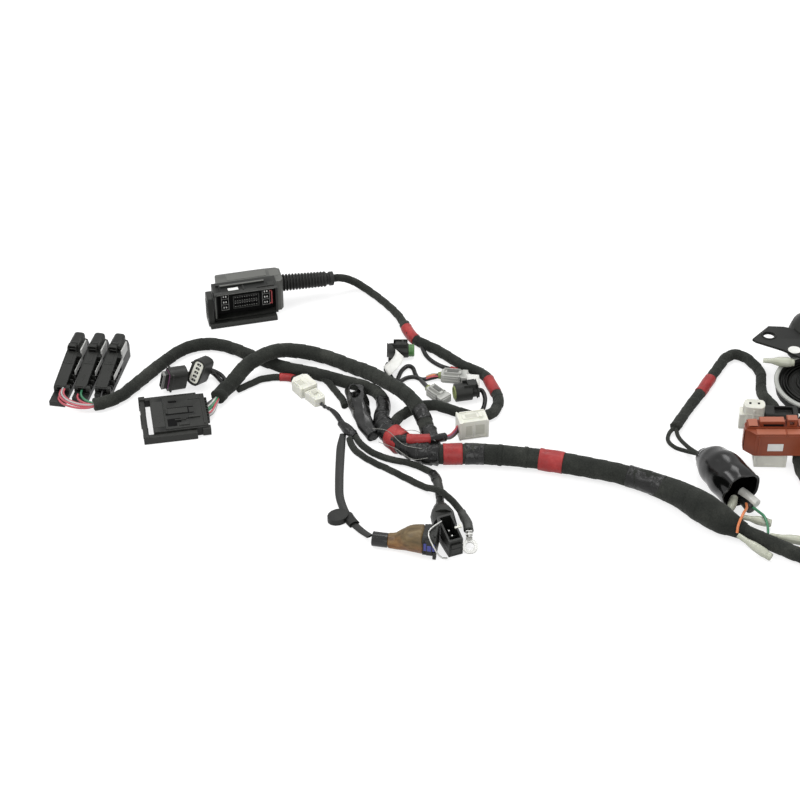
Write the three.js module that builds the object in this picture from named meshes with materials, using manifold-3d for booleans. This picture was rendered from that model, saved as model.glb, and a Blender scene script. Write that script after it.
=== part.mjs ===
// Motorcycle wiring harness: taped branches, a trunk, and the plugs, boots and fittings on their ends.
// Millimetres, +X right, +Y away from the front, +Z up. The harness lies on the plane z = 0.

import * as THREE from 'three';
import { mergeVertices } from 'three/addons/utils/BufferGeometryUtils.js';
import Module from 'manifold-3d';

// Driving dimensions

// Where the middle of the laid-out harness is, in the plan that the routes are drawn on
const PLAN_CENTRE_X = 52;
const PLAN_CENTRE_Y = -32;

// The running gap between two pieces that touch
const GAP = 0.3;

// Sleeve and lead radii
const TRUNK_RADIUS = 9.6;
const TRUNK_BULGE_RADIUS = 14.5;
const TAIL_RADIUS = 6.8;
const BRANCH_ONE_RADIUS = 6.2;
const BRANCH_TWO_RADIUS = 7.2;
const LOOP_RADIUS = 5.2;
const ECU_LEAD_RADIUS = 4;
const WHITE_LEAD_RADIUS = 3.4;
const THIN_SLEEVE_RADIUS = 2.6;
const SENSOR_LEAD_RADIUS = 3.2;
const GROUND_LEAD_RADIUS = 3.2;
const RIGHT_BRANCH_RADIUS = 5.2;
const SIDE_SLEEVE_RADIUS = 8;
const RIBBON_WIDTH = 8;
const RIBBON_THICKNESS = 3.2;
const WIRE_RADIUS = 1.3;
const MARKER_THICKNESS = 0.5;
const MARKER_WIDTH = 19;

// Three relay plugs, side by side
const RELAY_PLUG_COUNT = 3;
const RELAY_PLUG_WIDTH = 15.6;
const RELAY_PLUG_GAP = 4.3;
const RELAY_PLUG_STAGGER = 2.4;
const RELAY_PLUG_LENGTH = 70;
const RELAY_PLUG_HEIGHT = 28;
const RELAY_NOSE_LENGTH = 21;
const RELAY_PLATE_REAR_HEIGHT = 21;
const RELAY_PLATE_FRONT_HEIGHT = 11.5;
const RELAY_SHOULDER_CHAMFER = 2.6;
const RELAY_FOOT_LENGTHS = [16, 9, 3];
const RELAY_FOOT_HEIGHT = 5.5;

// Flat sealed plugs beside them
const SEALED_PLUG_LENGTH = 18;
const FOUR_PIN_WIDTH = 25;
const FIVE_PIN_WIDTH = 27;
const SEALED_PLUG_HEIGHT = 14;
const SEALED_PLUG_WALL = 1.8;
const PIN_PITCH = 4.2;
const PIN_HOLE = 2.2;

// Box connector and its sliding lock frame
const BOX_LENGTH = 52;
const BOX_WIDTH = 52;
const BOX_HEIGHT = 11;
const LOCK_BAR = 5;
const LOCK_HEIGHT = 8;
const LOCK_DRAW = 5;
const LOCK_LIP = 1.2;
const LOCK_LIP_HEIGHT = 2;

// Control unit plug: shroud, hood, terminal block, slide lock and bellows
const SHROUD_WIDTH = 65;
const SHROUD_HEIGHT = 37;
const SHROUD_DEPTH = 20;
const SHROUD_WALL = 2.4;
const CAVITY_DEPTH = 13;
const TERMINALS_BEHIND_MOUTH = 6;
const HOOD_OVERHANG = 8;
const HOOD_DEPTH = 24;
const HOOD_HEIGHT = 36;
const HOOD_CORNER = 13;
const SLIDE_THICKNESS = 4.5;
const SLIDE_RAIL_DEPTH = 7;
const SLIDE_END_WIDTH = 6;
const SLIDE_DRAW = 1.2;
const HOOD_TAPER = 8;
const LEAD_BEHIND_SHROUD = 3.3;
const LEAD_HEIGHT = 24;
const BELLOWS_HEADING_DEG = 15.2;
const BELLOWS_RADIUS = 9;
const BELLOWS_ROOT_RADIUS = 7.2;
const BELLOWS_WALL = 1.1;
const BELLOWS_RIBS = 14;
const BELLOWS_PITCH = 3.3;
const COLLAR_RADIUS = 7.4;
const COLLAR_LENGTH = 4;

// White plugs
const WHITE_PLUG_WIDTH = 19;
const WHITE_PLUG_LENGTH = 21;
const WHITE_PLUG_HEIGHT = 11.5;
const RECEPTACLE_WIDTH = 13.5;
const RECEPTACLE_LENGTH = 17;
const RECEPTACLE_HEIGHT = 9;
const WHITE_BOX_LENGTH = 27;
const WHITE_BOX_WIDTH = 17;
const WHITE_BOX_HEIGHT = 20;

// Small plugs of the middle cluster
const ROUND_PLUG_RADIUS = 9;
const ROUND_PLUG_LENGTH = 22;
const ROUND_PLUG_WALL = 1.8;
const GREY_PLUG_WIDTH = 12;
const GREY_PLUG_HEIGHT = 9;
const GREY_PLUG_LENGTH = 26;
const ANGLE_PLUG_RADIUS = 7.4;
const ANGLE_PLUG_LENGTH = 21;
const SEAL_LENGTH = 5.5;

// Vinyl hood over the joint
const HOOD_SLEEVE_RADIUS = 9.5;
const VINYL_WALL = 1;

// Coil boot, square connector and ground terminal
const COIL_BOOT_RADIUS = 13;
const COIL_BOOT_NECK_RADIUS = 6;
const COIL_PLUG_LENGTH = 12.4;
const SQUARE_LENGTH = 27;
const SQUARE_WIDTH = 13.5;
const SQUARE_FRONT_HEIGHT = 18;
const SQUARE_REAR_HEIGHT = 26;
const SQUARE_WALL = 1.8;
const BAIL_RADIUS = 0.8;
const RING_OUTER_RADIUS = 7.2;
const RING_HOLE_RADIUS = 3.9;
const RING_THICKNESS = 1.6;
const RING_TILT_DEG = 22;
const RING_FRONT_HEIGHT = 0.05 + RING_OUTER_RADIUS * Math.sin((RING_TILT_DEG * Math.PI) / 180);
const RING_BARREL_LENGTH = 9;
const CLIP_LENGTH = 18;

// Rubber boot and bullet sleeves
const RUBBER_BOOT_RADIUS = 21;
const RUBBER_BOOT_TOP_RADIUS = 12;
const RUBBER_WALL = 1.6;
const BULLET_RADIUS = 4.4;
const BULLET_NECK_RADIUS = 2.4;
const BULLET_LENGTH = 34;

// Brown plug and its white neighbours
const BROWN_LENGTH = 64;
const BROWN_DEPTH = 20;
const BROWN_HEIGHT = 25;
const BROWN_LATCH_LENGTH = 23;
const BROWN_LATCH_HEIGHT = 6;

// Horn
const HORN_RADIUS = 39;
const HORN_DEPTH = 16;
const HORN_RIM_WIDTH = 4.2;
const HORN_TILT_DEG = 5;
const HORN_DOME_RADIUS = 26;
const HORN_DOME_HEIGHT = 40;
const BRACKET_THICKNESS = 2.4;
const BRACKET_HOLE_RADIUS = 5.6;
const BRACKET_HEIGHT = 33;
const BRACKET_TILT_DEG = 3;

// Routes: points chosen by hand along the middle of each sleeve, x, y, z

const TRUNK_ROUTE = [
  [36.4, -95.4, 10.5], [48, -95, 10.5], [76, -95, 10.5], [104, -98, 10.5], [128, -102, 10.5], [151, -108, 10.5],
  [189, -119, 10.5], [212, -128, 10.8], [238, -143, 11.6], [258, -160, 13.6], [276, -180, 14.6], [292, -193, 12],
  [306, -201, 9],
];
const TAIL_ROUTE = [
  [306.8, -201.5, 8.8], [319, -208.6, 7.2], [335, -219, 6.8], [351, -230, 6.8], [370, -240, 6.8], [392, -248, 6.8],
];
const BRANCH_ONE_ROUTE = [
  [-294, -16, 7], [-284, -12, 6.6], [-271, -2, 6.2], [-258, 16, 6.2], [-245, 36, 6.2], [-232, 55, 6.2],
  [-219, 71, 6.2], [-206, 80, 6.2], [-192, 83, 6.2], [-178, 81, 6.2], [-162, 73, 6.2], [-147, 63, 6.2],
  [-130, 53, 6.2], [-110, 43, 6.2], [-88, 36, 6.2], [-69, 28, 6.2], [-51, 20, 6.2], [-34, 13, 6.2],
  [-23, 4, 6.6], [-17, -8, 7], [-16, -22, 7.6], [-18, -38, 9],
];
const OFFSHOOT_ROUTE = [
  [-76, 30, 6], [-69, 20, 5], [-62, 8, 3.8], [-56, -3, 3.6], [-53, -14, 3.6],
];
const BRANCH_TWO_ROUTE = [
  [-176, -6, 8], [-171, 4, 8], [-164, 14, 9.4], [-157, 22.5, 14], [-149, 31, 18.8], [-139, 39.8, 20.8],
  [-127, 49, 21], [-114, 57.4, 17.6], [-101, 62.8, 12.4], [-88, 64, 9], [-68, 57, 7.4], [-45, 41.6, 8.2],
  [-29, 26, 12.8], [-12, 6.5, 16.4], [2, -10, 18.6], [13, -27, 18.6], [21, -44, 16], [25, -58, 13], [28, -72, 12.5],
];
const WHITE_LEAD_ROUTE = [
  [-158, 12, 3.4], [-150, 18, 3.4], [-135, 29, 3.4], [-118, 32, 3.4], [-108, 30.5, 4], [-102.6, 26.8, 5],
];
const RECEPTACLE_SLEEVE_ROUTE = [
  [-76.1, -10.5, 4.2], [-72.6, -14.4, 3.4], [-67, -18, 2.8], [-61.5, -25, 2.6], [-57, -35, 2.6], [-51, -48, 4],
];
const ECU_LEAD_ROUTE = [
  [-51, 185, 13], [-42, 186, 6.8], [-29, 175, 4], [-18, 161, 4], [-8, 146, 4], [-1, 133, 4.4], [4.1, 118.6, 5],
];
const LOOP_ROUTE = [
  [4.5, 117.6, 5.2], [8, 107, 5.2], [14, 94, 5.2], [23, 85, 5.2], [35, 76, 5.2], [51, 60, 5.2], [63, 48, 5.2],
  [75, 40, 5.2], [84, 31, 5.2], [90, 14, 5.2], [95, -5, 5.2], [93, -18, 5.2], [86, -29, 5.2], [70, -31, 5.2],
  [51, -23, 5.2], [34, -15, 5.2], [20, -17, 5.2], [5, -27, 5.2], [-3, -38, 6], [-8, -50, 8],
];
const SENSOR_LEAD_ROUTE = [
  [-44, -56, 5], [-39, -68, 3.6], [-27, -83, 3.2], [-10, -94, 3.6], [8, -101, 4.6], [21, -107, 3.4],
  [31, -116, 3.2], [35, -130, 3.2], [36.5, -150, 3.6],
];
const GROUND_LEAD_ROUTE = [
  [-47.8, -65, 4.4], [-44, -77, 3.2], [-36, -88, 3.2], [-24, -99, 3.2], [-10, -109, 3.2], [8, -123, 3.2],
  [22, -135, 4.6], [36, -148, 10.6], [47, -160, 9.4], [54, -173, 9], [58.2, -186, 10.4], [60.4, -196, 11.8],
  [61.2, -203, 11.2],
];
const RIBBON_ROUTE = [
  [-54, -56, 2.4], [-55.5, -72, 1.9], [-56, -96, 1.9], [-56, -124, 1.9], [-55, -146, 1.9], [-51, -163, 1.9],
  [-45, -178, 2], [-35, -194, 3.6], [-27, -205, 6.4],
];
const RIGHT_BRANCH_ROUTE = [
  [261, -49, 5.2], [266, -40, 5.2], [278, -18, 5.2], [291, 4, 5.2], [304, 28, 5.2], [314, 46, 5.2],
  [324, 62, 5.2], [333, 67, 5.2], [342, 62, 5.2], [350, 49, 5.2], [354, 36, 5.2], [352, 18, 5.2],
  [351, 4, 5.2], [354, -10, 7.6], [357.6, -19, 8.8], [359, -26, 9],
];
const SIDE_SLEEVE_ROUTE = [
  [386.8, -41, 8.1], [386, -52, 8], [381, -72, 8], [374, -92, 8], [373, -118, 8], [383, -144, 8], [396, -165, 8],
];
const STRAND_ROUTES = [
  [[280.4, -98.8, 12.8], [270, -89, 8], [258, -77, 4], [253, -66, 3], [255, -56, 3.6], [261.5, -48, 5.2]],
  [[277.8, -98.6, 12.8], [270, -79, 6], [263, -61, 4], [262, -47, 5.2]],
];
const HOOD_ROUTE = [
  [-45, 5, 11.6], [-41, -13, 10.6], [-36, -34, 8.6], [-31, -52, 7.4], [-25, -64, 7],
];
const JUNCTION_ROUTE = [
  [-18, -40, 9], [-14, -56, 10], [-5, -72, 11], [10, -86, 10.8], [24, -94, 10.6], [35.6, -95.4, 10.5],
];
const BRANCH_COLLAR_ROUTE = [[26.5, -64, 12.8], [28.5, -76, 12.4], [31, -88, 11]];
const BOX_SLEEVE_ROUTE = [[-4, -80, 16], [6, -86, 21], [18, -88, 22.5], [30, -85.5, 21], [42, -78, 17]];
const BOX_WIRE_ROUTES = [
  [[40, -79, 18], [47, -71, 14], [52, -61, 12], [54.2, -54.9, 11.5]],
  [[40, -79, 16], [47, -72, 11], [52, -63, 8], [54.6, -57.1, 7]],
];
const RELAY_LEAD_ROUTES = [
  [[-327.8, 8.2, 8], [-328.6, 3.4, 8.2], [-328.4, -4, 8.6], [-323, -12, 8.4], [-312, -17.5, 7.8],
    [-300, -19, 7.4], [-291, -16, 7]],
  [[-307.8, 7.1, 8], [-308.6, 2, 8.2], [-307.4, -5, 8.6], [-302, -12, 8.6], [-294, -15.5, 8]],
  [[-287.8, 6, 8], [-288.4, 0.8, 8], [-288.6, -5, 7.8], [-288.5, -10, 7]],
];
const BOX_FAN_ROUTES = [
  [[-179, -28, 6.5], [-176.5, -18, 7.4], [-174.5, -4, 8]],
  [[-181, -19, 6.4], [-177, -10, 7.6], [-173.5, 0, 8.2]],
  [[-183.5, -10.5, 6.4], [-178, -4, 7.6], [-173, 4, 8.2]],
];
const SEALED_LEAD_ROUTES = [
  [[-208.8, 25.8, 10], [-207.4, 30, 6.5], [-205, 36, 3.4], [-199, 43, 2.2], [-189, 46, 2.2], [-177, 38, 2.6],
    [-170, 24, 5], [-165, 15, 8]],
  [[-190.4, 32.6, 12.4], [-187.4, 36.4, 8], [-182, 36, 3.6], [-176, 27, 3.2], [-169, 14, 5], [-166, 10, 7]],
];
const KNOT_ROUTE = [[-57, -42, 5], [-50, -52, 5.6], [-43, -62, 5]];
const ANGLE_LEAD_ROUTE = [[-12, 53.2, 4], [-14, 45, 3], [-9, 34, 2.8], [-4, 21, 2.8], [1, 12, 3], [7, 3, 3.2]];
const CLUSTER_LEAD_ROUTES = [
  [[-4, 22, 2.8], [2, 44, 2.6], [8, 51, 2.6], [12, 49, 2.6], [15, 38, 2.8], [17, 31, 3]],
  [[-4, 20, 2.8], [6, 31, 2.8], [14, 33, 2.8], [22, 29, 2.8], [31, 31, 3.4], [39, 33, 4.5]],
  [[20, 29.5, 2.4], [25, 20, 2.6], [28.5, 13.5, 4]],
];
const LOOP_LEAD_ROUTES = [
  [[20, 88, 4.6], [27, 66, 3], [38, 53, 2.6], [50, 46, 2.6], [60, 42, 3]],
  [[76.6, 4.6, 9], [79.4, 3.6, 8.6], [82, -4, 6.4], [81, -15, 4.6], [77, -28, 5]],
];
const SIDE_PLUG_LEAD_ROUTE = [
  [335, -49.2, 5], [341, -60, 3.4], [354, -72, 3], [365.4, -80, 4],
];
const BARREL_ROUTE = [[-24.4, -208.6, 6.9], [-17, -210.1, 6.9], [-10.6, -211.1, 6.9]];
const CAP_ROUTE = [[36.5, -152.6, 4.4], [36.5, -163, 6.5], [37, -172, 9], [38, -184, 12], [40, -198, 13]];
const COIL_BOOT_ROUTE = [
  [-9.6, -211.3, 7], [-2, -212.4, 7.6], [6, -213.7, 10.6], [13, -215, 12.8], [20, -216.2, 13.2],
];
const RUBBER_BOOT_ROUTE = [
  [280, -100, 13], [285, -111, 16], [294, -130, 19.8], [302, -147, 20.4], [307, -159, 19.6],
];
const BAIL_ROUTE = [
  [36.6, -206.4, 25.4], [25.8, -219, 25.8], [25, -225.4, 25.8], [28.2, -231.6, 20.6], [36.6, -231.6, 4.8],
  [41.6, -229.6, 2.4],
];
const BULLET_WIRE_ROUTES = [
  [[313, -163, 10], [311, -178, 16], [305, -194, 23], [299.6, -205, 19], [298.4, -210, 14.8]],
  [[316, -166, 9], [322, -178, 12], [326, -187, 13.4], [328, -196, 10], [327.8, -202.6, 6]],
];

// Materials

function finish(colour, roughness, metalness = 0) {
  return new THREE.MeshStandardMaterial({ color: colour, roughness, metalness });
}
const CLOTH_TAPE = finish(0x343632, 0.9);
const PVC_TAPE = finish(0x1c1c1b, 0.35);
const RED_TAPE = finish(0xaf3232, 0.45);
const BLACK_PLASTIC = finish(0x3c3e3b, 0.5);
const GREY_PLASTIC = finish(0x696c66, 0.5);
const PALE_GREY_PLASTIC = finish(0x9a9d97, 0.5);
const WHITE_NYLON = finish(0xd7dacd, 0.45);
const BROWN_PLASTIC = finish(0x9a4630, 0.45);
const BROWN_RUBBER = finish(0x64503a, 0.6);
const BLACK_RUBBER = finish(0x161616, 0.3);
const CLEAR_VINYL = finish(0xc8c8b4, 0.3);
const STEEL = finish(0xb9bab8, 0.35, 1);
const PAINTED_STEEL = finish(0x2c2e2c, 0.5, 0.3);

// Solids for cutting and joining

const wasm = await Module();
wasm.setup();

function toSolid(geometry) {
  const bare = geometry.clone();
  bare.deleteAttribute('normal');
  bare.deleteAttribute('uv');
  const merged = mergeVertices(bare, 1e-4);
  return new wasm.Manifold(new wasm.Mesh({
    numProp: 3,
    vertProperties: Float32Array.from(merged.attributes.position.array),
    triVerts: Uint32Array.from(merged.index.array),
  }));
}

function toGeometry(solid) {
  const mesh = solid.getMesh();
  const geometry = new THREE.BufferGeometry();
  const positions = new Float32Array(mesh.numVert * 3);
  for (let i = 0; i < mesh.numVert; i += 1) {
    for (let axis = 0; axis < 3; axis += 1) {
      positions[3 * i + axis] = mesh.vertProperties[mesh.numProp * i + axis];
    }
  }
  geometry.setAttribute('position', new THREE.BufferAttribute(positions, 3));
  geometry.setIndex(new THREE.BufferAttribute(Uint32Array.from(mesh.triVerts), 1));
  geometry.computeVertexNormals();
  return geometry;
}

function join(...parts) {
  const solids = parts.map(toSolid);
  return toGeometry(solids.slice(1).reduce((whole, next) => whole.add(next), solids[0]));
}

function cut(base, ...tools) {
  const solids = tools.map(toSolid);
  return toGeometry(solids.reduce((whole, next) => whole.subtract(next), toSolid(base)));
}

function common(first, second) {
  return toGeometry(toSolid(first).intersect(toSolid(second)));
}

// Basic forms

// A box from its lowest corner and its size
function block(x, y, z, length, width, height) {
  const geometry = new THREE.BoxGeometry(length, width, height);
  geometry.translate(x + length / 2, y + width / 2, z + height / 2);
  return geometry;
}

function polygon(points) {
  return new THREE.Shape(points.map(([x, y]) => new THREE.Vector2(x, y)));
}

function roundedRectangle(width, height, radius) {
  const shape = new THREE.Shape();
  const x = -width / 2;
  const y = -height / 2;
  shape.moveTo(x + radius, y);
  shape.lineTo(x + width - radius, y);
  shape.quadraticCurveTo(x + width, y, x + width, y + radius);
  shape.lineTo(x + width, y + height - radius);
  shape.quadraticCurveTo(x + width, y + height, x + width - radius, y + height);
  shape.lineTo(x + radius, y + height);
  shape.quadraticCurveTo(x, y + height, x, y + height - radius);
  shape.lineTo(x, y + radius);
  shape.quadraticCurveTo(x, y, x + radius, y);
  return shape;
}

function prism(shape, depth, curveSegments = 3) {
  return new THREE.ExtrudeGeometry(shape, { depth, bevelEnabled: false, curveSegments });
}

// A prism whose section lies across X: the shape's x goes to Y and its y goes to Z
function prismAlongX(shape, from, length, curveSegments = 3) {
  const geometry = prism(shape, length, curveSegments);
  geometry.rotateX(Math.PI / 2);
  geometry.rotateZ(Math.PI / 2);
  geometry.translate(from, 0, 0);
  return geometry;
}

// A prism whose section lies in the XZ plane, running along Y
function prismAlongY(shape, from, length, curveSegments = 3) {
  const geometry = prism(shape, length, curveSegments);
  geometry.rotateX(Math.PI / 2);
  geometry.translate(0, from + length, 0);
  return geometry;
}

// A turned form along X, from a profile of [x, radius] that closes on the axis or on itself
function turnedAlongX(profile, segments = 16) {
  const geometry = new THREE.LatheGeometry(profile.map(([x, r]) => new THREE.Vector2(r, x)), segments);
  geometry.rotateZ(-Math.PI / 2);
  return outward(geometry);
}

function turnedAlongZ(profile, segments = 24) {
  const geometry = new THREE.LatheGeometry(profile.map(([z, r]) => new THREE.Vector2(r, z)), segments);
  geometry.rotateX(Math.PI / 2);
  return outward(geometry);
}

// Turns the faces over where a closed form has them pointing in
function outward(geometry) {
  const bare = geometry.clone();
  bare.deleteAttribute('normal');
  bare.deleteAttribute('uv');
  const merged = mergeVertices(bare, 1e-4);
  const p = merged.attributes.position;
  const index = merged.index.array;
  const [a, b, c] = [new THREE.Vector3(), new THREE.Vector3(), new THREE.Vector3()];
  const kept = [];
  let volume = 0;
  for (let i = 0; i < index.length; i += 3) {
    if (index[i] !== index[i + 1] && index[i + 1] !== index[i + 2] && index[i] !== index[i + 2]) {
      a.fromBufferAttribute(p, index[i]);
      b.fromBufferAttribute(p, index[i + 1]);
      c.fromBufferAttribute(p, index[i + 2]);
      volume += a.dot(b.cross(c));
      kept.push(index[i], index[i + 1], index[i + 2]);
    }
  }
  if (volume < 0) {
    for (let i = 0; i < kept.length; i += 3) {
      [kept[i + 1], kept[i + 2]] = [kept[i + 2], kept[i + 1]];
    }
  }
  merged.setIndex(kept);
  merged.computeVertexNormals();
  return merged;
}

function curveThrough(route) {
  return new THREE.CatmullRomCurve3(route.map(([x, y, z]) => new THREE.Vector3(x, y, z)), false, 'centripetal');
}

// A round cord of one radius
function cord(route, radius, steps = 3 * route.length, sides = 8) {
  const section = new THREE.Shape();
  for (let i = 0; i < sides; i += 1) {
    const angle = (2 * Math.PI * i) / sides;
    const method = i === 0 ? 'moveTo' : 'lineTo';
    section[method](radius * Math.cos(angle), radius * Math.sin(angle));
  }
  section.closePath();
  const extrudePath = curveThrough(route);
  return rested(new THREE.ExtrudeGeometry(section, { steps, bevelEnabled: false, extrudePath }));
}

// Flattens what would reach under the floor, where a soft sleeve lies on it
function rested(geometry) {
  const p = geometry.attributes.position;
  for (let i = 0; i < p.count; i += 1) {
    p.setZ(i, Math.max(0, p.getZ(i)));
  }
  return geometry;
}

// A loft of ellipses along a route: sections are [part of the route, half width, half height]
function loft(route, sections, steps, sides = 12) {
  const curve = curveThrough(route);
  const rings = [];
  for (let i = 0; i <= steps; i += 1) {
    const t = i / steps;
    const [width, height] = sectionAt(sections, t);
    const middle = curve.getPointAt(t);
    const tangent = curve.getTangentAt(t);
    const across = new THREE.Vector3(0, 0, 1).cross(tangent).normalize();
    const over = tangent.clone().cross(across).normalize();
    const ring = [];
    for (let j = 0; j < sides; j += 1) {
      const angle = (2 * Math.PI * j) / sides;
      ring.push(middle.clone()
        .addScaledVector(across, width * Math.cos(angle))
        .addScaledVector(over, height * Math.sin(angle)));
    }
    rings.push(ring);
  }
  return skin(rings);
}

function sectionAt(sections, t) {
  let i = 0;
  while (i < sections.length - 2 && t > sections[i + 1][0]) {
    i += 1;
  }
  const [t0, w0, h0] = sections[i];
  const [t1, w1, h1] = sections[i + 1];
  const share = Math.min(1, Math.max(0, (t - t0) / (t1 - t0)));
  const smooth = share * share * (3 - 2 * share);
  return [w0 + (w1 - w0) * smooth, h0 + (h1 - h0) * smooth];
}

// Closes a row of rings with a flat cap at each end
function skin(rings) {
  const sides = rings[0].length;
  const positions = rings.flat().flatMap((v) => [v.x, v.y, v.z]);
  const index = [];
  for (let i = 0; i < rings.length - 1; i += 1) {
    for (let j = 0; j < sides; j += 1) {
      const a = i * sides + j;
      const b = i * sides + ((j + 1) % sides);
      index.push(a, b, b + sides, a, b + sides, a + sides);
    }
  }
  const last = (rings.length - 1) * sides;
  for (let j = 1; j < sides - 1; j += 1) {
    index.push(0, j + 1, j, last, last + j, last + j + 1);
  }
  const geometry = new THREE.BufferGeometry();
  geometry.setAttribute('position', new THREE.Float32BufferAttribute(positions, 3));
  geometry.setIndex(index);
  return outward(rested(geometry));
}

// A route with a little added at each end
function longer(route, by) {
  const [second, first] = [route[1], route[0]];
  const [before, last] = route.slice(-2);
  return [beyond(second, first, by), ...route, beyond(before, last, by)];
}

function beyond(from, to, by) {
  const step = new THREE.Vector3(...to).sub(new THREE.Vector3(...from)).setLength(by);
  return to.map((value, axis) => value + step.getComponent(axis));
}

// A stretch of a route, for a band of tape round it
function stretch(route, from, to, points = 5) {
  const curve = curveThrough(route);
  const list = [];
  for (let i = 0; i < points; i += 1) {
    const p = curve.getPointAt(from + ((to - from) * i) / (points - 1));
    list.push([p.x, p.y, p.z]);
  }
  return list;
}

// A wound band of tape: a short tube with a clear bore for what it is wound on
function tapeBand(route, middle, width, innerRadius) {
  const half = width / 2 / curveThrough(route).getLength();
  const outer = stretch(route, middle - half, middle + half);
  const longer = stretch(route, middle - 1.3 * half, middle + 1.3 * half);
  const outerRadius = innerRadius + MARKER_THICKNESS;
  return cut(
    loft(outer, [[0, outerRadius, outerRadius], [1, outerRadius, outerRadius]], 4),
    loft(longer, [[0, innerRadius, innerRadius], [1, innerRadius, innerRadius]], 6),
  );
}

// A point of a placed group, told in the plan
function placedPoint(group, point) {
  group.updateMatrix();
  return new THREE.Vector3(...point).applyMatrix4(group.matrix).toArray();
}

// The harness

const plan = new THREE.Group();
plan.position.set(-PLAN_CENTRE_X, -PLAN_CENTRE_Y, 0);

function add(name, geometry, material, parent = plan) {
  const mesh = new THREE.Mesh(geometry, material);
  mesh.name = name;
  parent.add(mesh);
  return mesh;
}

// A group that stands at a place in the plan, turned to a heading, then pitched and rolled
function stand(x, y, z, headingDeg, pitchDeg = 0, rollDeg = 0) {
  const group = new THREE.Group();
  const rad = THREE.MathUtils.degToRad;
  group.rotation.order = 'ZYX';
  group.rotation.set(rad(rollDeg), rad(-pitchDeg), rad(headingDeg));
  group.position.set(x, y, z);
  plan.add(group);
  return group;
}

// A round clearance along a route, to cut what the sleeve passes through
function clearance(route, radius) {
  const sides = 10;
  return cord(longer(route, GAP + 0.1), (radius + GAP) / Math.cos(Math.PI / sides), 2 * route.length, sides);
}

// Relay plugs: a rounded nose, a latch block and a sloping front plate on one moulding

function relayPlug(footLength) {
  const half = RELAY_PLUG_WIDTH / 2;
  const noseStart = RELAY_PLUG_LENGTH - RELAY_NOSE_LENGTH;
  const side = polygon([
    [0, 0], [RELAY_PLUG_LENGTH, 0], [RELAY_PLUG_LENGTH, 15], [RELAY_PLUG_LENGTH - 3, 22],
    [RELAY_PLUG_LENGTH - 9, RELAY_PLUG_HEIGHT], [noseStart + 5, RELAY_PLUG_HEIGHT],
    [noseStart, RELAY_PLUG_HEIGHT - 3], [noseStart - 1, RELAY_PLATE_REAR_HEIGHT],
    [1, RELAY_PLATE_FRONT_HEIGHT], [0, RELAY_PLATE_FRONT_HEIGHT - 2],
  ]);
  const shoulder = RELAY_PLUG_HEIGHT - 2 * RELAY_SHOULDER_CHAMFER;
  const front = polygon([
    [-half, 0], [half, 0], [half, shoulder], [half - RELAY_SHOULDER_CHAMFER, RELAY_PLUG_HEIGHT],
    [-half + RELAY_SHOULDER_CHAMFER, RELAY_PLUG_HEIGHT], [-half, shoulder],
  ]);
  const body = common(
    prismAlongX(side, -half, RELAY_PLUG_WIDTH),
    prismAlongY(front, -1, RELAY_PLUG_LENGTH + 2),
  );
  const foot = block(-half, -footLength, 0, RELAY_PLUG_WIDTH, footLength + 1, RELAY_FOOT_HEIGHT);
  const latchRecess = block(-half + 3, noseStart - 2, RELAY_PLATE_REAR_HEIGHT - 1, 7, 6, 4.5);
  const sideChannel = block(half - 3.6, 4, 6, 6, noseStart - 12, RELAY_PLUG_HEIGHT);
  const wirePort = block(-half + 4, -1, RELAY_FOOT_HEIGHT + GAP, RELAY_PLUG_WIDTH - 8, 5, 4.4);
  return cut(join(body, foot), latchRecess, sideChannel, wirePort);
}

const relayPlace = stand(-328.3, 5.4, 0, -10);
for (let i = 0; i < RELAY_PLUG_COUNT; i += 1) {
  const plug = relayPlug(RELAY_FOOT_LENGTHS[i]);
  plug.translate(i * (RELAY_PLUG_WIDTH + RELAY_PLUG_GAP), i * RELAY_PLUG_STAGGER, 0);
  add(`relay_plug_${i + 1}`, plug, BLACK_PLASTIC, relayPlace);
}

// Branch one: the cloth sleeve, its offshoot and the leads of the relay plugs

const branchOne = join(
  cord(BRANCH_ONE_ROUTE, BRANCH_ONE_RADIUS, 38),
  cord(OFFSHOOT_ROUTE, THIN_SLEEVE_RADIUS + 0.8, 10),
  ...RELAY_LEAD_ROUTES.map((route) => cord(route, WIRE_RADIUS, 8)),
);

// Two flat sealed plugs lying on edge: an open shroud round an insert

function sealedShell(width) {
  const half = SEALED_PLUG_LENGTH / 2;
  const corner = SEALED_PLUG_HEIGHT / 2.4;
  const outer = roundedRectangle(width, SEALED_PLUG_HEIGHT, corner);
  const inner = roundedRectangle(
    width - 2 * SEALED_PLUG_WALL,
    SEALED_PLUG_HEIGHT - 2 * SEALED_PLUG_WALL,
    corner - SEALED_PLUG_WALL,
  );
  const top = SEALED_PLUG_HEIGHT / 2;
  const latch = block(-half + 3, -5, top - 0.5, SEALED_PLUG_LENGTH - 8, 10, 2.8);
  const slot = block(-half + 5, -6, top + 0.4, SEALED_PLUG_LENGTH - 13, 12, 1.1);
  return cut(join(prismAlongX(outer, -half, SEALED_PLUG_LENGTH), latch), prismAlongX(inner, half - 10, 11), slot);
}

// A row of terminal holes across the face at the given place
function pinHoles(count, from, depth) {
  const holes = [];
  for (let i = 0; i < count; i += 1) {
    const y = (i - (count - 1) / 2) * PIN_PITCH - PIN_HOLE / 2;
    holes.push(block(from, y, -PIN_HOLE / 2, depth, PIN_HOLE, PIN_HOLE));
  }
  return holes;
}

function fourPinPlug() {
  const half = SEALED_PLUG_LENGTH / 2;
  const width = 4 * PIN_PITCH + 2.6;
  const insert = block(half - 11, -width / 2, -2.8, 17, width, 5.6);
  return cut(join(sealedShell(FOUR_PIN_WIDTH), insert), ...pinHoles(4, half + 1, 6));
}

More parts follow.
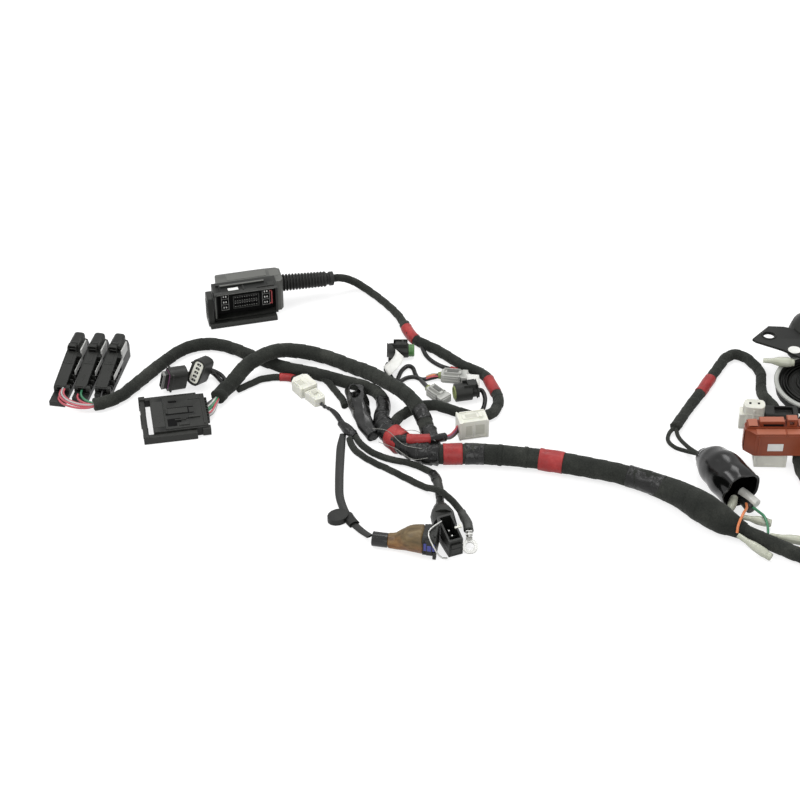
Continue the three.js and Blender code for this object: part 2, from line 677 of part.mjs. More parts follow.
function fivePinFace() {
  const half = SEALED_PLUG_LENGTH / 2;
  const wide = FIVE_PIN_WIDTH - 2 * SEALED_PLUG_WALL - 2 * GAP;
  const high = SEALED_PLUG_HEIGHT - 2 * SEALED_PLUG_WALL - 2 * GAP;
  const corner = SEALED_PLUG_HEIGHT / 2.4 - SEALED_PLUG_WALL - GAP;
  const face = prismAlongX(roundedRectangle(wide, high, corner), half - 10 + GAP, 9);
  return cut(face, ...pinHoles(5, half - 4.5, 6));
}

const fourPinPlace = stand(-217.7, 16.8, 13.8, 205.8, 8, 78);
add('four_pin_plug', fourPinPlug(), BLACK_PLASTIC, fourPinPlace);
const fivePinPlace = stand(-194.4, 24, 17.4, 244.7, 22, 76);
add('five_pin_plug', sealedShell(FIVE_PIN_WIDTH), BLACK_PLASTIC, fivePinPlace);
add('five_pin_face', fivePinFace(), WHITE_NYLON, fivePinPlace);

// Box connector with a U-shaped lock frame that slides along grooves in its sides

function boxConnector() {
  const x = -BOX_LENGTH / 2;
  const y = -BOX_WIDTH / 2;
  const body = join(
    block(x, y, 0, BOX_LENGTH, BOX_WIDTH, BOX_HEIGHT - 1),
    block(x + 12, y + 1.5, BOX_HEIGHT - 2, BOX_LENGTH - 12, BOX_WIDTH - 3, 2),
    block(BOX_LENGTH / 2 - 6, y - 2.4, 1, 8, 6, BOX_HEIGHT - 3),
  );
  const grooveHeight = LOCK_LIP_HEIGHT + 2 * GAP;
  const grooveDepth = LOCK_LIP + GAP;
  const grooveLow = (LOCK_HEIGHT - grooveHeight) / 2;
  const grooveLength = BOX_LENGTH - 12;
  return cut(
    body,
    block(x - 1, y - 1, grooveLow, grooveLength, 1 + grooveDepth, grooveHeight),
    block(x - 1, -y - grooveDepth, grooveLow, grooveLength, 1 + grooveDepth, grooveHeight),
    block(x - 1, y + 6, 2.6, 13, BOX_WIDTH - 12, 5),
    block(-10, -3.5, BOX_HEIGHT - 1.4, 24, 1.2, 2),
    block(-10, 5.5, BOX_HEIGHT - 1.4, 24, 1.2, 2),
    block(-8, 15, BOX_HEIGHT - 1.6, 7, 2.4, 2),
    block(-8, -16, BOX_HEIGHT - 1.8, 9, 6, 3),
  );
}

function boxLock() {
  const inner = BOX_WIDTH / 2 + GAP;
  const outer = inner + LOCK_BAR;
  const left = -BOX_LENGTH / 2 - LOCK_DRAW - LOCK_BAR;
  const armLength = LOCK_DRAW + LOCK_BAR + BOX_LENGTH - 12;
  const lipLow = (LOCK_HEIGHT - LOCK_LIP_HEIGHT) / 2;
  const lipFrom = -BOX_LENGTH / 2 + 4;
  const lipLength = BOX_LENGTH - 30;
  return join(
    block(left, -outer, 0, LOCK_BAR, 2 * outer, LOCK_HEIGHT),
    block(left + 1, -outer, 0, armLength, LOCK_BAR, LOCK_HEIGHT),
    block(left + 1, inner, 0, armLength + 4, LOCK_BAR, LOCK_HEIGHT),
    block(lipFrom, -inner - 1, lipLow, lipLength, LOCK_LIP + 1, LOCK_LIP_HEIGHT),
    block(lipFrom, inner - LOCK_LIP, lipLow, lipLength, LOCK_LIP + 1, LOCK_LIP_HEIGHT),
  );
}

const boxPlace = stand(-211.2, -32, 0, 10.4);
add('box_connector', boxConnector(), BLACK_PLASTIC, boxPlace);
add('box_connector_lock', boxLock(), BLACK_PLASTIC, boxPlace);

// Branch two: the thick cloth sleeve over everything, with the wires that fan out of its mouth

function boxLeadStart(i) {
  return placedPoint(boxPlace, [BOX_LENGTH / 2 + 1.6, -5.1 + i * 9.6, 5.5]);
}

const branchTwo = join(
  cord(BRANCH_TWO_ROUTE, BRANCH_TWO_RADIUS, 34),
  ...BOX_FAN_ROUTES.map((route, i) => cord([boxLeadStart(i), ...route], 1.8 * WIRE_RADIUS, 5)),
  ...SEALED_LEAD_ROUTES.map((route) => cord(route, 1.6 * WIRE_RADIUS, 10)),
);
add('branch_2_sleeve', branchTwo, CLOTH_TAPE);
add('branch_1_sleeve', branchOne, CLOTH_TAPE);

// White in-line plug on its short lead, and the receptacle that it is pushed into

function whitePlug() {
  const half = WHITE_PLUG_WIDTH / 2;
  const outline = polygon([
    [0, -half + 5], [4, -half], [WHITE_PLUG_LENGTH, -half], [WHITE_PLUG_LENGTH, half],
    [3, half], [0, half - 4],
  ]);
  const flange = block(WHITE_PLUG_LENGTH - 1, -half + 2, 1, 2.5, WHITE_PLUG_WIDTH - 3, WHITE_PLUG_HEIGHT);
  return cut(
    join(prism(outline, WHITE_PLUG_HEIGHT), flange),
    block(6, -half - 1, WHITE_PLUG_HEIGHT - 1.2, 9, 2.6, 2),
  );
}

function whiteReceptacle() {
  const start = WHITE_PLUG_LENGTH + 1.5 + GAP;
  const half = RECEPTACLE_WIDTH / 2;
  const outline = polygon([
    [start, -half], [start + RECEPTACLE_LENGTH, -half + 1], [start + RECEPTACLE_LENGTH + 1.5, half - 2],
    [start + RECEPTACLE_LENGTH - 2, half], [start, half],
  ]);
  const ramp = block(start + 3, -3, RECEPTACLE_HEIGHT - 1, 7, 6, 2.2);
  return join(prism(outline, RECEPTACLE_HEIGHT), ramp);
}

const whitePlace = stand(-100, 24, 0, -55);
add('white_plug', whitePlug(), WHITE_NYLON, whitePlace);
add('white_receptacle', whiteReceptacle(), WHITE_NYLON, whitePlace);
add('white_plug_lead', cut(
  cord(WHITE_LEAD_ROUTE, WHITE_LEAD_RADIUS, 18),
  clearance(BRANCH_TWO_ROUTE, BRANCH_TWO_RADIUS),
), CLOTH_TAPE);

// Vinyl hood: a soft open sleeve over the splice, its mouth crumpled wide

const hoodSections = [
  [0, HOOD_SLEEVE_RADIUS, HOOD_SLEEVE_RADIUS + 1], [0.35, HOOD_SLEEVE_RADIUS, HOOD_SLEEVE_RADIUS - 1],
  [0.7, HOOD_SLEEVE_RADIUS - 2.5, HOOD_SLEEVE_RADIUS - 3], [1, HOOD_SLEEVE_RADIUS - 3, HOOD_SLEEVE_RADIUS - 3.4],
];

function grown(sections, by) {
  return sections.map(([t, width, height]) => [t, width + by, height + by]);
}

function vinylHood() {
  const outer = loft(HOOD_ROUTE, hoodSections, 12);
  const mouth = stretch(HOOD_ROUTE, 0, 0.42, 4);
  const bore = loft([beyond(mouth[1], mouth[0], 1), ...mouth], grown(hoodSections, -VINYL_WALL), 6);
  return cut(outer, bore);
}
add('vinyl_hood', vinylHood(), PVC_TAPE);

// Knot where the thin leads leave the splice

const ribbonSections = [
  [0, RIBBON_WIDTH / 2 + 0.2, RIBBON_THICKNESS / 2], [0.5, RIBBON_WIDTH / 2, RIBBON_THICKNESS / 2],
  [0.8, RIBBON_WIDTH / 2 - 0.6, RIBBON_THICKNESS / 2 + 0.2], [1, 3.6, 2.6],
];
const knotAndSleeve = cut(
  join(
    cord(RECEPTACLE_SLEEVE_ROUTE, THIN_SLEEVE_RADIUS, 14),
    loft(KNOT_ROUTE, [[0, 3, 3], [0.5, 6, 5.4], [1, 3.6, 3.6]], 6, 10),
  ),
  clearance(SENSOR_LEAD_ROUTE, SENSOR_LEAD_RADIUS),
  clearance(GROUND_LEAD_ROUTE, GROUND_LEAD_RADIUS),
  loft(longer(RIBBON_ROUTE, GAP), grown(ribbonSections, 2 * GAP), 26, 8),
  loft(longer(HOOD_ROUTE, GAP), grown(hoodSections, GAP), 14),
);
add('receptacle_sleeve', knotAndSleeve, CLOTH_TAPE);

// Junction: the taped body where branches, loop, hood and trunk meet

const junction = cut(
  join(
    loft(JUNCTION_ROUTE, [[0, 8, 8], [0.35, 9.6, 9.6], [0.6, 11.4, 10.4], [1, 10.2, 9.7]], 16),
    loft(BRANCH_COLLAR_ROUTE, [[0, 8.4, 8.4], [1, 9, 9]], 5, 10),
  ),
  clearance(BRANCH_ONE_ROUTE, BRANCH_ONE_RADIUS),
  clearance(BRANCH_TWO_ROUTE, BRANCH_TWO_RADIUS),
  clearance(LOOP_ROUTE, LOOP_RADIUS),
  clearance(BOX_SLEEVE_ROUTE, THIN_SLEEVE_RADIUS + 1.8),
  clearance(SENSOR_LEAD_ROUTE, SENSOR_LEAD_RADIUS),
  loft(longer(HOOD_ROUTE, GAP), grown(hoodSections, GAP), 14),
  block(35.7, -120, -1, 20, 60, 40),
);
add('junction_wrap', junction, PVC_TAPE);

// Trunk with its bulge, two red markers and the thinner tail

add('trunk_sleeve', loft(TRUNK_ROUTE, [
  [0, TRUNK_RADIUS, TRUNK_RADIUS], [0.62, TRUNK_RADIUS, TRUNK_RADIUS],
  [0.86, TRUNK_BULGE_RADIUS, TRUNK_BULGE_RADIUS - 0.6], [0.94, TRUNK_BULGE_RADIUS - 1.4, TRUNK_BULGE_RADIUS - 2.5],
  [1, TAIL_RADIUS + 1, TAIL_RADIUS + 1],
], 28), CLOTH_TAPE);
add('trunk_tail', cord(TAIL_ROUTE, TAIL_RADIUS, 12, 10), CLOTH_TAPE);
add('trunk_marker_1', tapeBand(TRUNK_ROUTE, 0.048, MARKER_WIDTH, TRUNK_RADIUS + GAP), RED_TAPE);
add('trunk_marker_2', tapeBand(TRUNK_ROUTE, 0.345, MARKER_WIDTH + 5, TRUNK_RADIUS + GAP), RED_TAPE);

// Control unit plug: black shroud, grey hood, terminal block and slide lock

function ecuShroud() {
  const cavity = block(
    SHROUD_WALL, -1, SHROUD_WALL + SLIDE_THICKNESS,
    SHROUD_WIDTH - 2 * SHROUD_WALL, CAVITY_DEPTH + 1, SHROUD_HEIGHT - 2 * SHROUD_WALL - SLIDE_THICKNESS,
  );
  const body = prismAlongX(polygon([
    [0, SLIDE_THICKNESS + 0.6], [SHROUD_DEPTH, SLIDE_THICKNESS + 0.6], [SHROUD_DEPTH, SHROUD_HEIGHT],
    [3, SHROUD_HEIGHT], [0, SHROUD_HEIGHT - 2],
  ]), 0, SHROUD_WIDTH);
  const rib = block(8, SHROUD_DEPTH - 9, SHROUD_HEIGHT - 0.5, SHROUD_WIDTH - 20, 2, 1.5);
  const window = block(3.5, 4, SHROUD_HEIGHT - 1.2, 3, 11, 3);
  return cut(join(body, rib), cavity, window);
}

function ecuTerminalBlock() {
  const low = SHROUD_WALL + SLIDE_THICKNESS + GAP;
  const high = SHROUD_HEIGHT - 2 * SHROUD_WALL - SLIDE_THICKNESS - 2 * GAP;
  const front = TERMINALS_BEHIND_MOUTH;
  const wide = SHROUD_WIDTH - 2 * SHROUD_WALL - 2 * GAP;
  const right = SHROUD_WIDTH - SHROUD_WALL;
  const blockBody = join(
    block(SHROUD_WALL + GAP, front + 1, low, wide, CAVITY_DEPTH - front - 1 - GAP, high),
    block(SHROUD_WALL + 4, front, low + 3, 10, 2, high - 6),
    block(right - 14, front, low + 3, 10, 2, high - 6),
    block(SHROUD_WALL + 18, front + 0.4, low + 5, wide - 36, 2, high - 10),
  );
  const holes = [];
  for (const x of [SHROUD_WALL + 6, right - 12]) {
    for (let row = 0; row < 3; row += 1) {
      holes.push(block(x, front - 1, low + 6.2 + row * 6.6, 6, 4, 3.6));
    }
  }
  for (let column = 0; column < 6; column += 1) {
    for (let row = 0; row < 2; row += 1) {
      holes.push(block(SHROUD_WALL + 20.4 + column * 3.7, front - 1, low + 8.5 + row * 6.6, 2.2, 4, 3));
    }
  }
  return cut(blockBody, ...holes);
}

function ecuHood() {
  const right = SHROUD_WIDTH + HOOD_OVERHANG;
  const outline = new THREE.Shape();
  const back = SHROUD_DEPTH + GAP + HOOD_DEPTH;
  const front = SHROUD_DEPTH + GAP;
  outline.moveTo(6, front);
  outline.lineTo(SHROUD_WIDTH + GAP, front);
  outline.lineTo(SHROUD_WIDTH + GAP, front - 10);
  outline.lineTo(right - 3, front - 10);
  outline.lineTo(right, front - 6);
  outline.lineTo(right, back - HOOD_TAPER - 4);
  outline.lineTo(right - 4, back - HOOD_TAPER);
  outline.lineTo(6 + HOOD_CORNER, back);
  outline.absarc(6 + HOOD_CORNER, back - HOOD_CORNER, HOOD_CORNER, Math.PI / 2, Math.PI, false);
  const body = prism(outline, HOOD_HEIGHT, 4);
  const section = new THREE.Shape();
  section.moveTo(front - 12, 0);
  section.lineTo(back + 1, 0);
  section.lineTo(back + 1, HOOD_HEIGHT - HOOD_CORNER);
  section.absarc(back + 1 - HOOD_CORNER, HOOD_HEIGHT - HOOD_CORNER, HOOD_CORNER, 0, Math.PI / 2, false);
  section.lineTo(front - 12, HOOD_HEIGHT);
  const leadY = SHROUD_DEPTH + LEAD_BEHIND_SHROUD;
  const pocket = cord(
    [[right - 2.2, leadY + 0.2, LEAD_HEIGHT + 0.2], [right + 6, leadY + 0.4, LEAD_HEIGHT - 0.5]],
    BELLOWS_RADIUS + 2 * GAP, 1, 16,
  );
  return cut(common(body, prismAlongX(section, -1, right + 2, 5)), pocket);
}

function ecuSlideLock() {
  const railLength = SHROUD_WIDTH - 4;
  const from = -SLIDE_DRAW - SLIDE_END_WIDTH;
  const rail = prismAlongX(polygon([
    [-SLIDE_RAIL_DEPTH, 0], [SHROUD_DEPTH - 6, 0], [SHROUD_DEPTH - 6, SLIDE_THICKNESS],
    [-SLIDE_RAIL_DEPTH + 2, SLIDE_THICKNESS], [-SLIDE_RAIL_DEPTH, SLIDE_THICKNESS - 2],
  ]), from + 1, railLength + 8);
  const end = prismAlongX(polygon([
    [-2, 0], [SHROUD_DEPTH - 4, 0], [SHROUD_DEPTH - 4, SHROUD_HEIGHT - 6], [SHROUD_DEPTH - 9, SHROUD_HEIGHT - 2],
    [2, SHROUD_HEIGHT - 6], [-2, 8],
  ]), from, SLIDE_END_WIDTH);
  return join(rail, end);
}

const ecuPlace = stand(-187, 124, 0, 14);
add('ecu_shroud', ecuShroud(), BLACK_PLASTIC, ecuPlace);
add('ecu_terminal_block', ecuTerminalBlock(), BLACK_PLASTIC, ecuPlace);
add('ecu_hood', ecuHood(), GREY_PLASTIC, ecuPlace);
add('ecu_slide_lock', ecuSlideLock(), BLACK_PLASTIC, ecuPlace);

// Bellows boot: one closed profile, outside over the ribs and back along a plain bore

function bellows() {
  const bore = ECU_LEAD_RADIUS + 1.6 * GAP;
  const profile = [[0, bore], [0, BELLOWS_RADIUS]];
  for (let i = 0; i < BELLOWS_RIBS; i += 1) {
    const x = 1 + i * BELLOWS_PITCH;
    const crest = BELLOWS_RADIUS - 0.07 * i;
    profile.push([x + 0.2 * BELLOWS_PITCH, BELLOWS_ROOT_RADIUS]);
    profile.push([x + 0.5 * BELLOWS_PITCH, BELLOWS_ROOT_RADIUS]);
    profile.push([x + 0.7 * BELLOWS_PITCH, crest]);
    profile.push([x + BELLOWS_PITCH, crest]);
  }
  const end = 1 + BELLOWS_RIBS * BELLOWS_PITCH;
  profile.push([end + 2, BELLOWS_ROOT_RADIUS - 1], [end + 4, BELLOWS_ROOT_RADIUS - 1]);
  profile.push([end + 4.6, COLLAR_RADIUS], [end + 4.6 + COLLAR_LENGTH, COLLAR_RADIUS]);
  profile.push([end + 4.6 + COLLAR_LENGTH, bore]);
  const inside = BELLOWS_ROOT_RADIUS - BELLOWS_WALL;
  profile.push([end - 2, bore], [end - 3, inside], [2, inside], [1.4, bore], [0, bore]);
  return turnedAlongX(profile, 14);
}
const bellowsStart = placedPoint(ecuPlace, [
  SHROUD_WIDTH + HOOD_OVERHANG - 1.3, SHROUD_DEPTH + LEAD_BEHIND_SHROUD + 0.2, LEAD_HEIGHT + 0.1,
]);
const bellowsPlace = stand(...bellowsStart, BELLOWS_HEADING_DEG, -4.4);
add('bellows_boot', bellows(), BLACK_RUBBER, bellowsPlace);

// Loop: the thin lead out of the bellows, then the cloth sleeve that comes back to the junction

const ecuLeadRoute = [
  ...[2.4, 22, 42, 57.5, 63].map((distance) => placedPoint(bellowsPlace, [distance, 0, 0])),
  ...ECU_LEAD_ROUTE,
];
add('ecu_lead', cord(ecuLeadRoute, ECU_LEAD_RADIUS, 22), CLOTH_TAPE);
add('loop_sleeve', join(
  cord(LOOP_ROUTE, LOOP_RADIUS, 38),
  ...LOOP_LEAD_ROUTES.map((route) => cord(route, THIN_SLEEVE_RADIUS - 0.4, 8, 6)),
), CLOTH_TAPE);

// Right-angle plug with its green seal, and the lead cluster of the small plugs

function anglePlug() {
  const axis = ANGLE_PLUG_RADIUS;
  const body = turnedAlongX([
    [0, 0], [0, axis - 0.6], [3, axis], [ANGLE_PLUG_LENGTH - 1, axis], [ANGLE_PLUG_LENGTH, axis - 0.6],
    [ANGLE_PLUG_LENGTH, axis - 1.8], [ANGLE_PLUG_LENGTH + SEAL_LENGTH, axis - 2.2],
    [ANGLE_PLUG_LENGTH + SEAL_LENGTH, 0],
  ], 14);
  const tail = block(0.8, -17, -3.6, 7, 15, 7);
  const latch = block(8, -3, axis - 1, 11, 6, 3);
  return join(body, tail, latch);
}
const anglePlace = stand(-12.4, 70.5, ANGLE_PLUG_RADIUS + 0.2, 0);
add('right_angle_plug', anglePlug(), BLACK_PLASTIC, anglePlace);
add('cluster_lead', join(
  cord(ANGLE_LEAD_ROUTE, THIN_SLEEVE_RADIUS - 0.4, 9, 6),
  ...CLUSTER_LEAD_ROUTES.map((route) => cord(route, THIN_SLEEVE_RADIUS - 0.4, 8, 6)),
), CLOTH_TAPE);

function greyPlug(length) {
  const half = GREY_PLUG_WIDTH / 2;
  const outline = polygon([
    [0, -half + 1.5], [2, -half], [length - 6, -half], [length - 5, -half - 1], [length, -half - 1],
    [length, half + 1], [length - 5, half + 1], [length - 6, half], [2, half], [0, half - 1.5],
  ]);
  const latch = block(4, -2.5, GREY_PLUG_HEIGHT - 1, length - 10, 5, 2.6);
  return join(prism(outline, GREY_PLUG_HEIGHT), latch);
}
const greyOnePlace = stand(40.4, 33.5, 0, -8);
add('grey_plug_1', greyPlug(GREY_PLUG_LENGTH), PALE_GREY_PLASTIC, greyOnePlace);
const greyTwoPlace = stand(28.8, 11.8, 0, -49);
add('grey_plug_2', greyPlug(GREY_PLUG_LENGTH - 2), PALE_GREY_PLASTIC, greyTwoPlace);

function roundPlug() {
  const inner = ROUND_PLUG_RADIUS - ROUND_PLUG_WALL;
  const shell = turnedAlongX([
    [0, 0], [0, 6.4], [5, 6.4], [6, ROUND_PLUG_RADIUS], [ROUND_PLUG_LENGTH, ROUND_PLUG_RADIUS],
    [ROUND_PLUG_LENGTH, inner], [ROUND_PLUG_LENGTH - 8, inner], [ROUND_PLUG_LENGTH - 8, 0],
  ], 16);
  const insert = block(ROUND_PLUG_LENGTH - 9, -3.4, -2.2, 7, 6.8, 4.4);
  const latch = block(1, -3.6, ROUND_PLUG_RADIUS - 3, 9, 7.2, 4.4);
  return join(shell, insert, latch);
}
const roundPlace = stand(74.6, 4.2, ROUND_PLUG_RADIUS + 0.1, 192);
add('round_plug', roundPlug(), BLACK_PLASTIC, roundPlace);

// White box connector and its wires out of the red-banded sleeve

function whiteBox() {
  const shell = block(0, -WHITE_BOX_WIDTH / 2, 0, WHITE_BOX_LENGTH, WHITE_BOX_WIDTH, WHITE_BOX_HEIGHT);
  const cavity = block(
    WHITE_BOX_LENGTH - 12, -WHITE_BOX_WIDTH / 2 + 1.5, 1.5,
    13, WHITE_BOX_WIDTH - 3, WHITE_BOX_HEIGHT - 3,
  );
  const latch = block(3, -3, WHITE_BOX_HEIGHT - 0.5, WHITE_BOX_LENGTH - 9, 6, 2);
  return cut(join(shell, latch), cavity);
}
const whiteBoxPlace = stand(55.6, -54, 0, 12);
add('white_box_connector', whiteBox(), WHITE_NYLON, whiteBoxPlace);
add('box_leads', join(
  cord(BOX_SLEEVE_ROUTE, THIN_SLEEVE_RADIUS + 1.8, 14),
  ...BOX_WIRE_ROUTES.map((route) => cord(route, WIRE_RADIUS, 8)),
), CLOTH_TAPE);

// Flat ribbon sleeve with its clip, the coil boot and its plug

const flat = [[0, RIBBON_WIDTH / 2, RIBBON_THICKNESS / 2], [1, RIBBON_WIDTH / 2, RIBBON_THICKNESS / 2]];
add('ribbon_sleeve', loft(RIBBON_ROUTE, ribbonSections, 24, 8), CLOTH_TAPE);

function cableClip() {
  const leaf = new THREE.Shape();
  leaf.absellipse(-56, -175.5, CLIP_LENGTH / 2 + 1, CLIP_LENGTH / 2 - 1, 0, 2 * Math.PI, false, 0.5);
  const strap = stretch(RIBBON_ROUTE, 0.74, 0.84, 4);
  const clip = join(
    prism(leaf, 6, 7),
    loft(strap, grown(flat, 1.6), 4, 8),
  );
  const ribbonRoom = loft(stretch(RIBBON_ROUTE, 0.64, 0.94, 7), grown(flat, 2.4 * GAP), 10, 8);
  const bench = block(-90, -200, -5, 80, 60, 5.05);
  return cut(clip, ribbonRoom, bench);
}
add('cable_clip', cableClip(), BLACK_PLASTIC);
add('coil_barrel', cord(BARREL_ROUTE, COIL_BOOT_NECK_RADIUS + 0.8, 3, 12), BLACK_RUBBER);
add('coil_boot', loft(COIL_BOOT_ROUTE, [
  [0, COIL_BOOT_NECK_RADIUS + 0.8, COIL_BOOT_NECK_RADIUS + 0.8], [0.35, 9, 8.6],
  [0.7, COIL_BOOT_RADIUS - 0.6, 12], [1, COIL_BOOT_RADIUS, COIL_BOOT_RADIUS],
], 10, 16), BROWN_RUBBER);

function coilPlug() {
  const section = roundedRectangle(22, 22, 5);
  const collar = roundedRectangle(25, 19, 4);
  return join(prismAlongX(section, 0, COIL_PLUG_LENGTH), prismAlongX(collar, 4, 5));
}
const coilPlugPlace = stand(21.1, -216.4, 13, -9.4);
add('coil_plug', coilPlug(), BLACK_PLASTIC, coilPlugPlace);

// Open box with a sloping mouth and two pins, and the round cap that is moulded on behind it
function squareConnector() {
  const half = SQUARE_WIDTH / 2;
  const side = polygon([
    [0, 0], [SQUARE_LENGTH, 0], [SQUARE_LENGTH, SQUARE_REAR_HEIGHT], [0, SQUARE_FRONT_HEIGHT],
  ]);
  const shell = prismAlongX(side, -half, SQUARE_WIDTH);
  const inside = block(
    -half + SQUARE_WALL, SQUARE_WALL, 8, SQUARE_WIDTH - 2 * SQUARE_WALL, SQUARE_LENGTH - 2 * SQUARE_WALL, 30,
  );
  const pins = [8, 15].map((y) => block(-1, y, 7, 2, 2, 9));
  const lip = block(-half + 2, -1.6, 10, SQUARE_WIDTH - 4, 2, 4);
  const box = join(cut(shell, inside), ...pins, lip);
  box.rotateZ(THREE.MathUtils.degToRad(22));
  box.translate(49.3, -223.5, 0);
  const cap = cut(
    loft(CAP_ROUTE, [[0, 3.6, 3.6], [0.24, 4, 4], [0.46, 8, 8], [0.7, 11, 11], [1, 11, 11]], 10, 14),
    block(20, -200, 20.6, 40, 12, 10),
  );
  return join(box, cap);
}
add('square_connector', squareConnector(), BLACK_PLASTIC);

add('sensor_lead', cord(SENSOR_LEAD_ROUTE, SENSOR_LEAD_RADIUS, 18), CLOTH_TAPE);
add('ground_lead', cord(GROUND_LEAD_ROUTE, GROUND_LEAD_RADIUS, 24), CLOTH_TAPE);

function ringTerminal() {
  const ring = new THREE.Shape();
  ring.absarc(0, 0, RING_OUTER_RADIUS, 0, 2 * Math.PI, false);
  const hole = new THREE.Path();
  hole.absarc(0, 0, RING_HOLE_RADIUS, 0, 2 * Math.PI, true);
  ring.holes.push(hole);
  const eye = prism(ring, RING_THICKNESS, 12);
  const tongue = block(-3, RING_OUTER_RADIUS - 1.6, 0, 6, 3, RING_THICKNESS);
  const barrel = cord(
    [[0, RING_OUTER_RADIUS + 0.6, 2.6], [0, RING_OUTER_RADIUS + 1 + RING_BARREL_LENGTH / 2, 3.2]],
    2.6, 2, 10,
  );
  return join(eye, tongue, barrel);
}
const ringPlace = stand(62, -215, RING_FRONT_HEIGHT, 4, 0, RING_TILT_DEG);
add('ring_terminal', ringTerminal(), STEEL, ringPlace);

function bail() {
  return cord(BAIL_ROUTE, BAIL_RADIUS, 12, 6);
}
add('wire_bail', bail(), STEEL);

// Right branch with its two strands, and the rubber boot that they come out of

add('right_branch_sleeve', join(
  cord(RIGHT_BRANCH_ROUTE, RIGHT_BRANCH_RADIUS, 26),
  ...STRAND_ROUTES.map((route) => cord(route, THIN_SLEEVE_RADIUS - 0.6, 8, 6)),
), CLOTH_TAPE);

const bootSections = [
  [0, 5, 5], [0.14, RUBBER_BOOT_TOP_RADIUS, RUBBER_BOOT_TOP_RADIUS - 1],
  [0.5, RUBBER_BOOT_RADIUS - 1, RUBBER_BOOT_RADIUS - 3],
  [0.8, RUBBER_BOOT_RADIUS, RUBBER_BOOT_RADIUS - 2], [1, RUBBER_BOOT_RADIUS - 1, RUBBER_BOOT_RADIUS - 2.6],
];

function rubberBoot() {
  const outer = loft(RUBBER_BOOT_ROUTE, bootSections, 14, 16);
  const [before, last] = RUBBER_BOOT_ROUTE.slice(-2);
  const inside = [...stretch(RUBBER_BOOT_ROUTE, 0.3, 1, 5), beyond(before, last, 4)];
  const wide = RUBBER_BOOT_RADIUS - RUBBER_WALL;
  const hollow = [[0, 12, 11], [0.3, wide - 1, wide - 3], [0.7, wide, wide - 2], [1, wide - 1, wide - 2.6]];
  const bore = loft(inside, hollow, 9, 16);
  return cut(outer, bore);
}
add('rubber_boot', rubberBoot(), BLACK_RUBBER);

// Bullet terminals in clear sleeves: a narrow neck, a shoulder and a rounded end

function bulletSleeve(length, radius) {
  return turnedAlongX([
    [0, 0], [0, BULLET_NECK_RADIUS], [length * 0.28, BULLET_NECK_RADIUS + 0.2], [length * 0.5, radius * 0.92],
    [length * 0.8, radius], [length * 0.94, radius * 0.8], [length, radius * 0.4], [length, 0],
  ], 12);
}
const bulletPlaces = [
  [295.4, -178.4, 6.8, 70, 12, 22], [299, -211.5, 13.5, -36, -14, BULLET_LENGTH],
  [308, -181, 8, -16, -3, BULLET_LENGTH - 9], [329.4, -203.4, 5.8, -12, -2, BULLET_LENGTH + 2],
];
bulletPlaces.forEach(([x, y, z, heading, pitch, length], i) => {
  add(`bullet_sleeve_${i + 1}`, bulletSleeve(length, BULLET_RADIUS), CLEAR_VINYL, stand(x, y, z, heading, pitch));
});
add('bullet_connector', join(
  cord([[308, -149, 9.4], [312, -159, 8.8], [317, -170, 8]], 5, 4, 10),
  ...BULLET_WIRE_ROUTES.map((route) => cord(route, WIRE_RADIUS, 8)),
), CLEAR_VINYL);

// Brown plug with its raised latch, on the side sleeve, between two white plugs

function brownPlug() {
  const outline = new THREE.Shape();
  outline.moveTo(9, 0);
  outline.lineTo(BROWN_LENGTH, 0);
  outline.lineTo(BROWN_LENGTH, BROWN_DEPTH);
  outline.lineTo(5, BROWN_DEPTH);
  outline.absarc(5, BROWN_DEPTH - 5, 5, Math.PI / 2, Math.PI, false);
  outline.lineTo(0, 9);
  const body = prism(outline, BROWN_HEIGHT, 4);
  const shelf = block(2, 9, BROWN_HEIGHT - 1, BROWN_LENGTH - 2, BROWN_DEPTH - 9, 3);
  const latchFrom = 13;
  const bridge = block(latchFrom, 10, BROWN_HEIGHT + 1, BROWN_LATCH_LENGTH, BROWN_DEPTH - 12, BROWN_LATCH_HEIGHT);
  const slot = block(latchFrom + 3, 8, BROWN_HEIGHT + 2.4, BROWN_LATCH_LENGTH - 4, BROWN_DEPTH, 2);
  const lugFrom = latchFrom + BROWN_LATCH_LENGTH + 2;
  const lug = block(lugFrom, 10, BROWN_HEIGHT + 1, 10, BROWN_DEPTH - 12, BROWN_LATCH_HEIGHT + 2);
  const lugHole = block(latchFrom + BROWN_LATCH_LENGTH + 4.6, 8, BROWN_HEIGHT + 3, 4.2, BROWN_DEPTH, 4);
  const cavity = block(BROWN_LENGTH - 14, 2, 2, 16, BROWN_DEPTH - 4, BROWN_HEIGHT - 4);
  return cut(join(body, shelf, bridge, lug), slot, lugHole, cavity);
}
const brownPlace = stand(318, -105, 16.4, 0);
add('brown_plug', brownPlug(), BROWN_PLASTIC, brownPlace);

function whiteTwinPlug() {
  const outline = roundedRectangle(20, 14, 6);
  const body = prism(outline, 27, 3);
  const foot = block(-13, -6, 0, 8, 12, 17);
  return cut(join(body, foot), block(-5, -1, 22, 1.8, 2.4, 6), block(3, -0.4, 22, 1.8, 2.4, 6));
}
const twinPlace = stand(335.8, -40, 0, -8);
const twinLead = cord(SIDE_PLUG_LEAD_ROUTE, THIN_SLEEVE_RADIUS - 0.4, 8);
add('white_twin_plug', whiteTwinPlug(), WHITE_NYLON, twinPlace);
add('twin_plug_lead', twinLead, CLOTH_TAPE);
const flatPlugPlace = stand(329, -101.6, 0.05, -2);
add('white_flat_plug', cut(
  block(0, 0, 0, 30, 22, 15.6),
  block(-1, 4, 3, 12, 14, 9.6),
), WHITE_NYLON, flatPlugPlace);

add('side_sleeve', cord(SIDE_SLEEVE_ROUTE, SIDE_SLEEVE_RADIUS, 18, 10), CLOTH_TAPE);

